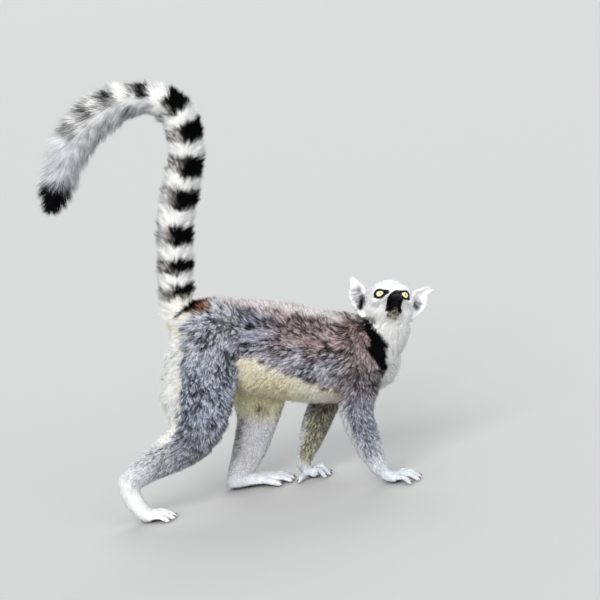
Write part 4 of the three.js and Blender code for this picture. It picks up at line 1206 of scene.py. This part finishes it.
COAT_TOTAL = 492000
P, N = sample_roots(COAT_TOTAL)
A = study_chunks(P, N)
boost = 1.0
shift = A["flow"] * (0.62 * A["coat"] / np.tan(np.radians(A["rise"])))[:, None]
lift = 0.7 * A["coat"] * ss(6.5, 9, A["coat"])  # long coat shows its colours at its tips, off the skin
A["colour"] = study_chunks((P + shift + N * lift[:, None]).astype(F32), N)["colour"]
cell = np.where(A["coat"] > 15, 6.0, np.where(A["coat"] > 6, 3.5, np.where(A["coat"] > 3, 3.1, 2.4)))
C = np.zeros_like(P); R = np.zeros((len(P), 4))
for size in (6.0, 3.5, 3.1, 2.4):
    i = np.flatnonzero(cell == size)
    if len(i):
        C[i], R[i] = clumps(P[i], size, int(size * 10))
m = len(P)
rnd = RNG.random((m, 6))
B = np.cross(N, A["flow"])
angle = np.radians(A["rise"] * (0.80 + 0.30 * rnd[:, 0] + 0.22 * (R[:, 0] - 0.5)))
warp = np.stack([vnoise(P, 9.0, 30 + k) for k in range(3)], 1) - 0.5
C2, R2 = clumps((P * np.array([0.8, 1, 1.15], F32) + 9.0 * warp).astype(F32), 12.5, 77)
rel = np.clip(np.sqrt(((P * np.array([0.8, 1, 1.15]) + 9.0 * warp - C2) ** 2).sum(1)) / 8.2, 0, 1.5)
crack = ss(0.72, 1.15, rel) * ss(3, 8, A["coat"]) * ss(22, 15, A["coat"])
length = A["coat"] / np.sin(np.radians(A["rise"])) * (0.74 + 0.32 * rnd[:, 1] + 0.12 * R[:, 1]) * (1.04 - 0.20 * crack)
swing = (0.5 * (rnd[:, 2] - 0.5) + 0.55 * (R[:, 2] - 0.5) + 0.4 * (R2[:, 1] - 0.5)) * ss(1.0, 6, A["coat"]) * (1 - 0.5 * ss(14, 17, A["coat"]))
way = A["flow"] * np.cos(swing)[:, None] + B * np.sin(swing)[:, None]
way = way * np.cos(angle)[:, None] + N * np.sin(angle)[:, None]
way = unit_rows(way)
tip = P + way * length[:, None]
pull = C - P
pull -= N * (pull * N).sum(1)[:, None]
gather = (0.25 + 0.35 * R[:, 3]) * ss(1.0, 5.0, A["coat"])
tip = tip + pull * gather[:, None]
tip[:, 2] = np.maximum(tip[:, 2], 0.5)
root = P - N * np.minimum(0.5, 0.25 * A["coat"])[:, None]
axis = unit_rows(tip - root)
side = unit_rows(np.cross(axis, N) + 1e-5)
up = np.cross(side, axis)
radius = A["thick"] * boost * (0.75 + 0.5 * rnd[:, 3])
turn = rnd[:, 4] * 2 * np.pi
puff = (P - C) / cell[:, None] * (0.9 * ss(1.0, 5.0, A["coat"]))[:, None]
puff -= N * (puff * N).sum(1)[:, None]
verts = np.empty((m, 4, 3), F32)
norms = np.empty((m, 4, 3), F32)
for k in range(3):
    ang = turn + k * 2 * np.pi / 3
    out = side * np.cos(ang)[:, None] + up * np.sin(ang)[:, None]
    verts[:, k] = root + out * radius[:, None]
    norms[:, k] = unit_rows(N + out * 0.4 + puff)
verts[:, 3] = tip
norms[:, 3] = unit_rows(N + way * 0.3 + puff)
verts[:, :, 2] = np.maximum(verts[:, :, 2], 0.2)
luma = A["colour"].mean(1)
grizzle = ss(222, 190, luma) * ss(1.5, 5, A["coat"]) * ss(20, 60, luma)
fleck = streaks(tip, A["flow"], 1.7, 1.3, 50)
wv = np.stack([vnoise(tip, 7.0, 70 + k) for k in range(3)], 1) - 0.5
# locks darker along the partings of the grey coat: partly darker underfur showing, partly painted shade in the creases
split = clumps((tip + 7.0 * wv).astype(F32), 10.0, 91, edge=True)
split = ss(2.7, 0.6, split) * ss(0.30, 0.52, vnoise(tip, 15.0, 81)) * ss(5, 10, A["coat"])
tone = 1.0 + (0.10 + 0.12 * grizzle) * (rnd[:, 5] - 0.5) + (0.12 + 0.62 * grizzle) * (fleck - 0.5)
tone = tone + 0.10 * (R[:, 1] - 0.5) * ss(2, 8, A["coat"]) + 0.06 * (R2[:, 0] - 0.5) * ss(2, 8, A["coat"])
tone = (tone * (1 + 0.06 * grizzle - (0.05 + 0.68 * grizzle) * split))[:, None]
col = np.empty((m, 4, 3), F32)
# roots darker than tips: partly the grey coat's darker underfur, partly painted shade deep in the coat
deepness = (0.58 + 0.38 * ss(180, 228, luma))[:, None]
deepness = 1 - (1 - deepness) * ss(0.8, 5, A["coat"])[:, None]
col[:, :3] = (A["colour"] * tone * deepness)[:, None, :]
col[:, 3] = np.minimum(A["colour"] * tone * (1.13 - 0.08 * ss(200, 235, luma))[:, None], 251)

WHERE = A["part"]
groups = []


def group(name, slot, kind, mask):
    i = np.flatnonzero(mask)
    while len(i):
        groups.append((name, slot, kind, i[:65500])); i = i[65500:]
        name = name + "_more"


X = P[:, 0]
sp = WHERE == COL["spine"]
front = sp & (X > -55)
group("coat_shoulders", "coat_trunk", "trunk", front & (X > 0))
group("coat_flanks", "coat_trunk", "trunk", sp & (X <= 0) & (X > -85))
group("coat_rump", "coat_trunk", "trunk", sp & (X <= -85))
group("coat_neck", "coat_throat", "throat", WHERE == COL["neck"])
ta = WHERE == COL["tail"]
group("coat_tail_low", "coat_tail", "tail", ta & (A["v"] < 0.5))
group("coat_tail_high", "coat_tail", "tail", ta & (A["v"] >= 0.5))
for k, n in (("hr", "hind_right"), ("hl", "hind_left"), ("fr", "fore_right"), ("fl", "fore_left")):
    group("coat_" + n, "coat_limb", "limb", WHERE == COL["leg_" + k])
group("coat_feet", "coat_paw", "paw", (WHERE == COL["paw_hr"]) | (WHERE == COL["paw_hl"]))
group("coat_hands", "coat_paw", "paw", (WHERE == COL["paw_fr"]) | (WHERE == COL["paw_fl"]))
group("coat_face", "coat_head", "head", WHERE == COL["head"])
group("coat_ears", "coat_ear", "ear", (WHERE == COL["ear_right"]) | (WHERE == COL["ear_left"]))

FACES = np.array([[1, 0, 3], [2, 1, 3], [0, 2, 3]], np.int32)
PATCH = np.array([[0.0, -0.0015], [0.0013, -0.0015], [-0.0013, -0.0015], [0.0, 0.0015]])
tris = 0
for name, slot, kind, i in groups:
    k = len(i)
    loops = (FACES[None] + (np.arange(k) * 4)[:, None, None]).ravel()
    lay = layout([NAMES[j] for j in np.unique(WHERE[i])])
    at = place_uv(WHERE[i], A["u"][i], A["v"][i], lay)
    at = np.clip(at, 0.003, 0.997)
    uv = at[:, None, :] + PATCH[None]
    uv = uv[:, FACES.ravel()].reshape(-1, 2)
    ob = mesh_object(name, metres(verts[i].reshape(-1, 3)), loops, np.full(k * 3, 3), uv, col[i].reshape(-1, 3), norms[i].reshape(-1, 3))
    ob.data.materials.append(M_COAT[kind])
    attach(ob, "root")
    tris += k * 3
    print(name, k * 3, flush=True)
print("coat triangles", tris)


# ------------------------------------------------------------------ eyes
def sphere_rings(c, axis, radius, steps, around):
    """Rings of a ball about axis, closer near its front pole; returns vertices, loops, sizes, uv and the angle from the pole."""
    axis = unit(axis)
    e1 = unit(np.cross(axis, [0.3, 0.2, 0.9])); e2 = np.cross(axis, e1)
    V = [c + axis * radius(0)]
    ang = [0.0]
    for a in steps:
        for k in range(around):
            t = 2 * np.pi * k / around
            V.append(c + radius(a) * (axis * math.cos(a) + (e1 * math.cos(t) + e2 * math.sin(t)) * math.sin(a)))
            ang.append(a)
    V.append(c - axis * radius(np.pi)); ang.append(np.pi)
    F, UV = [], []
    n = len(steps)
    idx = lambda r, k: 1 + r * around + k % around
    rr = lambda a, k: (0.5 + 0.48 * (a / np.pi) * math.cos(2 * np.pi * k / around), 0.5 + 0.48 * (a / np.pi) * math.sin(2 * np.pi * k / around))
    for k in range(around):
        F.append((0, idx(0, k), idx(0, k + 1))); UV += [(0.5, 0.5), rr(steps[0], k), rr(steps[0], k + 1)]
        for r in range(n - 1):
            F.append((idx(r, k), idx(r + 1, k), idx(r + 1, k + 1), idx(r, k + 1)))
            UV += [rr(steps[r], k), rr(steps[r + 1], k), rr(steps[r + 1], k + 1), rr(steps[r], k + 1)]
        F.append((len(V) - 1, idx(n - 1, k + 1), idx(n - 1, k))); UV += [rr(np.pi, k + 0.5), rr(steps[-1], k + 1), rr(steps[-1], k)]
    return np.array(V), F, np.array(UV), np.array(ang)


def eye_material():
    m, t, p = new_material("eyeball")
    L = t.links.new
    a = t.nodes.new("ShaderNodeAttribute"); a.attribute_name = "coat"
    n = t.nodes.new("ShaderNodeTexNoise"); n.inputs["Scale"].default_value = 900.0; n.inputs["Detail"].default_value = 4
    r = t.nodes.new("ShaderNodeMapRange"); r.inputs["To Min"].default_value = 0.86; r.inputs["To Max"].default_value = 1.12
    L(n.outputs["Fac"], r.inputs["Value"])
    s = t.nodes.new("ShaderNodeVectorMath"); s.operation = "SCALE"
    L(a.outputs["Color"], s.inputs[0]); L(r.outputs["Result"], s.inputs["Scale"]); L(s.outputs["Vector"], p.inputs["Base Color"])
    p.inputs["Roughness"].default_value = 0.12
    p.inputs["Coat Weight"].default_value = 1.0
    p.inputs["Coat Roughness"].default_value = 0.03
    p.inputs["IOR"].default_value = 1.38
    return m


M_EYE = eye_material()
steps = list(np.radians([2, 4, 5.5, 7, 8, 9, 10, 12, 15, 19, 23, 27, 31, 35, 38, 40, 42, 44, 46, 50, 56, 64, 75, 90, 105, 120, 135, 150, 165, 174]))
for s, c in EYES.items():
    bulge = lambda a: EYE_R - 0.25 + 0.55 * math.exp(-((a / 0.62) ** 4))
    V, F, UV, ang = sphere_rings(from_head(c), GAZE[s] @ HEAD_R, bulge, steps, 64)
    deg = np.degrees(ang)
    k = np.arange(len(V))
    ray = 0.5 + 0.5 * np.sin(k * 12.9898) * np.cos(k * 4.1)
    iris = mix((214, 202, 152), (236, 228, 188), ss(9, 22, deg))
    iris = mix(iris, (190, 162, 96), ray * 0.30 * ss(9, 12, deg))
    iris = mix(iris, (170, 124, 58), ss(29, 42, deg) * 0.85)
    c4 = mix((8, 7, 7), iris, ss(7.4, 9.4, deg))
    c4 = mix(c4, (40, 30, 24), ss(42, 46, deg))
    ob = mesh_object("eyeball_" + s, metres(V), np.concatenate([np.array(f) for f in F]), np.array([len(f) for f in F]), UV, c4)
    ob.data.materials.append(M_EYE)
    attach(ob, "root")
    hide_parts("eye_" + s)


# ------------------------------------------------------------------ nails and whiskers
def cone_tube(points, radii, around=7, squash=1.0, side=(0, 0, 1)):
    """A closed tapering tube along points; returns vertices, faces and a uv for each corner."""
    Pn = np.asarray(points, float)
    T = np.gradient(Pn, axis=0); T /= np.linalg.norm(T, axis=1)[:, None]
    V, F, UV = [], [], []
    for p, t, r in zip(Pn, T, radii):
        s = np.cross(t, side); s /= max(np.linalg.norm(s), 1e-6)
        n = np.cross(s, t)
        for k in range(around):
            a = 2 * np.pi * k / around
            V.append(p + s * math.cos(a) * r * squash + n * math.sin(a) * r)
    nr = len(Pn)
    V.append(Pn[0] - T[0] * radii[0] * 0.3); V.append(Pn[-1] + T[-1] * radii[-1] * 0.8)
    base, end = nr * around, nr * around + 1
    uvp = lambda r, k: (k / around, r / (nr - 1))
    for k in range(around):
        j = (k + 1) % around
        F.append((base, j, k)); UV += [uvp(0, k), uvp(0, k + 1), uvp(0, k)]
        for r in range(nr - 1):
            F.append((r * around + k, r * around + j, (r + 1) * around + j, (r + 1) * around + k))
            UV += [uvp(r, k), uvp(r, k + 1), uvp(r + 1, k + 1), uvp(r + 1, k)]
        F.append((end, (nr - 1) * around + k, (nr - 1) * around + j)); UV += [uvp(nr - 1, k), uvp(nr - 1, k), uvp(nr - 1, k + 1)]
    out, at = [], 0
    for f in F:
        out += UV[at:at + len(f)][::-1]; at += len(f)
    return np.array(V), [f[::-1] for f in F], out


def joined(name, pieces, grid, colours):
    Vs, Ls, Ss, Us, Cs, off = [], [], [], [], [], 0
    for n, (V, F, UV) in enumerate(pieces):
        Vs.append(V); Ls += [i + off for f in F for i in f]; Ss += [len(f) for f in F]; off += len(V)
        gx, gy = n % grid, n // grid
        Us += [((gx + 0.05 + 0.9 * u) / grid, (gy + 0.05 + 0.9 * v) / grid) for u, v in UV]
        Cs.append(np.tile(np.array(colours[n], F32), (len(V), 1)))
    return mesh_object(name, metres(np.concatenate(Vs)), np.array(Ls), np.array(Ss), np.array(Us), np.concatenate(Cs))


nails, tones = [], []
for k, pw in paws.items():
    for j, t in enumerate(pw.digits):
        tip, d = t.P[-1], unit([*(t.P[-1] - t.P[-4])[:2], 0])
        r = float(t.ra[-1])
        z = tip[2] + r * 0.45
        pts = [np.array([*(tip + d * a)[:2], max(z + b, 0.9)]) for a, b in ((-0.3 * r, 0.9), (0.6 * r, 0.8), (1.0 * r + 1.0, -0.2), (1.0 * r + 2.6, -1.6))]
        wide = 1.3 if j == 0 and k[0] == "h" else 0.85
        nails.append(cone_tube(pts, [1.1, 1.25, 0.95, 0.3], 8, wide))
        tones.append((58, 53, 54))
nail = joined("nails", nails, 5, tones)
M_NAIL = coat_material("nail_horn", 0.35, 0.15, 0.2, 1500.0, 0.5)
nail.data.materials.append(M_NAIL)
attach(nail, "root")

hairs, tones = [], []
wr = np.random.default_rng(8)
for s in (-1, 1):
    for n in range(13):
        f = wr.random(3)
        start = np.array([36 + 9 * f[0], s * (9.3 - 0.16 * (6 + 9 * f[0] - 6)), -13.5 + 6 * f[1]])
        d = unit([-0.15 - 0.5 * f[2], s * 1.0, -0.35 + 0.6 * f[1]])
        long = 17 + 12 * f[2]
        pts = [from_head(start + d * long * u + np.array([-0.25, 0, -0.35]) * long * u * u) for u in (0, 0.25, 0.5, 0.75, 1.0)]
        hairs.append(cone_tube(pts, [0.10, 0.09, 0.075, 0.05, 0.02], 4)); tones.append((110, 106, 108))
    for n in range(5):
        f = wr.random(3)
        start = np.array([20 + 3 * f[0], s * (12 + 9 * f[1]), 15.5 - 3 * f[1]])
        d = unit([0.5, s * (0.2 + 0.5 * f[1]), 0.9])
        pts = [from_head(start + d * 14 * u + np.array([-0.4, 0, 0.1]) * 10 * u * u) for u in (0, 0.33, 0.66, 1.0)]
        hairs.append(cone_tube(pts, [0.10, 0.08, 0.06, 0.02], 4)); tones.append((110, 106, 108))
whisk = joined("whiskers", hairs, 7, tones)
whisk.data.materials.append(coat_material("whisker_hair", 0.5, 0.0, 0.2, 600.0, 0.4))
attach(whisk, "root")

# ------------------------------------------------------------------ floor, light and camera
def floor_material():
    m, t, p = new_material("floor_plain")
    L = t.links.new
    n = t.nodes.new("ShaderNodeTexNoise"); n.inputs["Scale"].default_value = 3.0; n.inputs["Detail"].default_value = 3
    r = t.nodes.new("ShaderNodeValToRGB")
    r.color_ramp.elements[0].color = (0.40, 0.405, 0.405, 1); r.color_ramp.elements[1].color = (0.43, 0.43, 0.425, 1)
    L(n.outputs["Fac"], r.inputs["Fac"]); L(r.outputs["Color"], p.inputs["Base Color"])
    p.inputs["Roughness"].default_value = 0.85
    p.inputs["Specular IOR Level"].default_value = 0.15
    return m


bpy.ops.mesh.primitive_plane_add(size=300, location=(0, 0, -0.0006))
floor = bpy.context.object
floor.name = "floor"
floor.data.materials.append(floor_material())


def sun(name, frm, strength, angle, colour):
    d = bpy.data.lights.new(name, "SUN")
    d.energy = strength; d.angle = math.radians(angle); d.color = colour
    o = bpy.data.objects.new(name, d)
    bpy.context.scene.collection.objects.link(o)
    o.rotation_euler = (-Vector(frm)).to_track_quat("-Z", "Y").to_euler()


sun("key", (-0.30, -1.0, 0.66), 2.9, 35, (1.0, 0.99, 0.97))
sun("fill", (0.9, -1.0, 0.12), 1.55, 60, (0.97, 0.98, 1.0))
sun("rim", (0.1, 1.0, 0.9), 1.0, 40, (1.0, 1.0, 1.0))
world = bpy.data.worlds.new("studio")
bpy.context.scene.world = world
world.use_nodes = True
bg = world.node_tree.nodes["Background"]
bg.inputs["Color"].default_value = (0.97, 0.985, 1.0, 1)
bg.inputs["Strength"].default_value = 0.9

cam_data = bpy.data.cameras.new("camera")
cam = bpy.data.objects.new("camera", cam_data)
bpy.context.scene.collection.objects.link(cam)
right, upv, back = Vector((0.9877, -0.0272, -0.1541)), Vector((0.1564, 0.1715, 0.9727)), Vector((0.0, -0.9848, 0.1736))
right.normalize()
upv = back.cross(right).normalized()
rot = Matrix((right, upv, right.cross(upv))).transposed().to_4x4()
cam.matrix_world = Matrix.Translation(Vector((0.0752, -3.1479, 0.8387))) @ rot
cam_data.sensor_width = 36
cam_data.lens = 129.7
cam_data.clip_end = 60
bpy.context.scene.camera = cam
bpy.context.scene.view_settings.view_transform = "Standard"
bpy.context.scene.view_settings.look = "None"
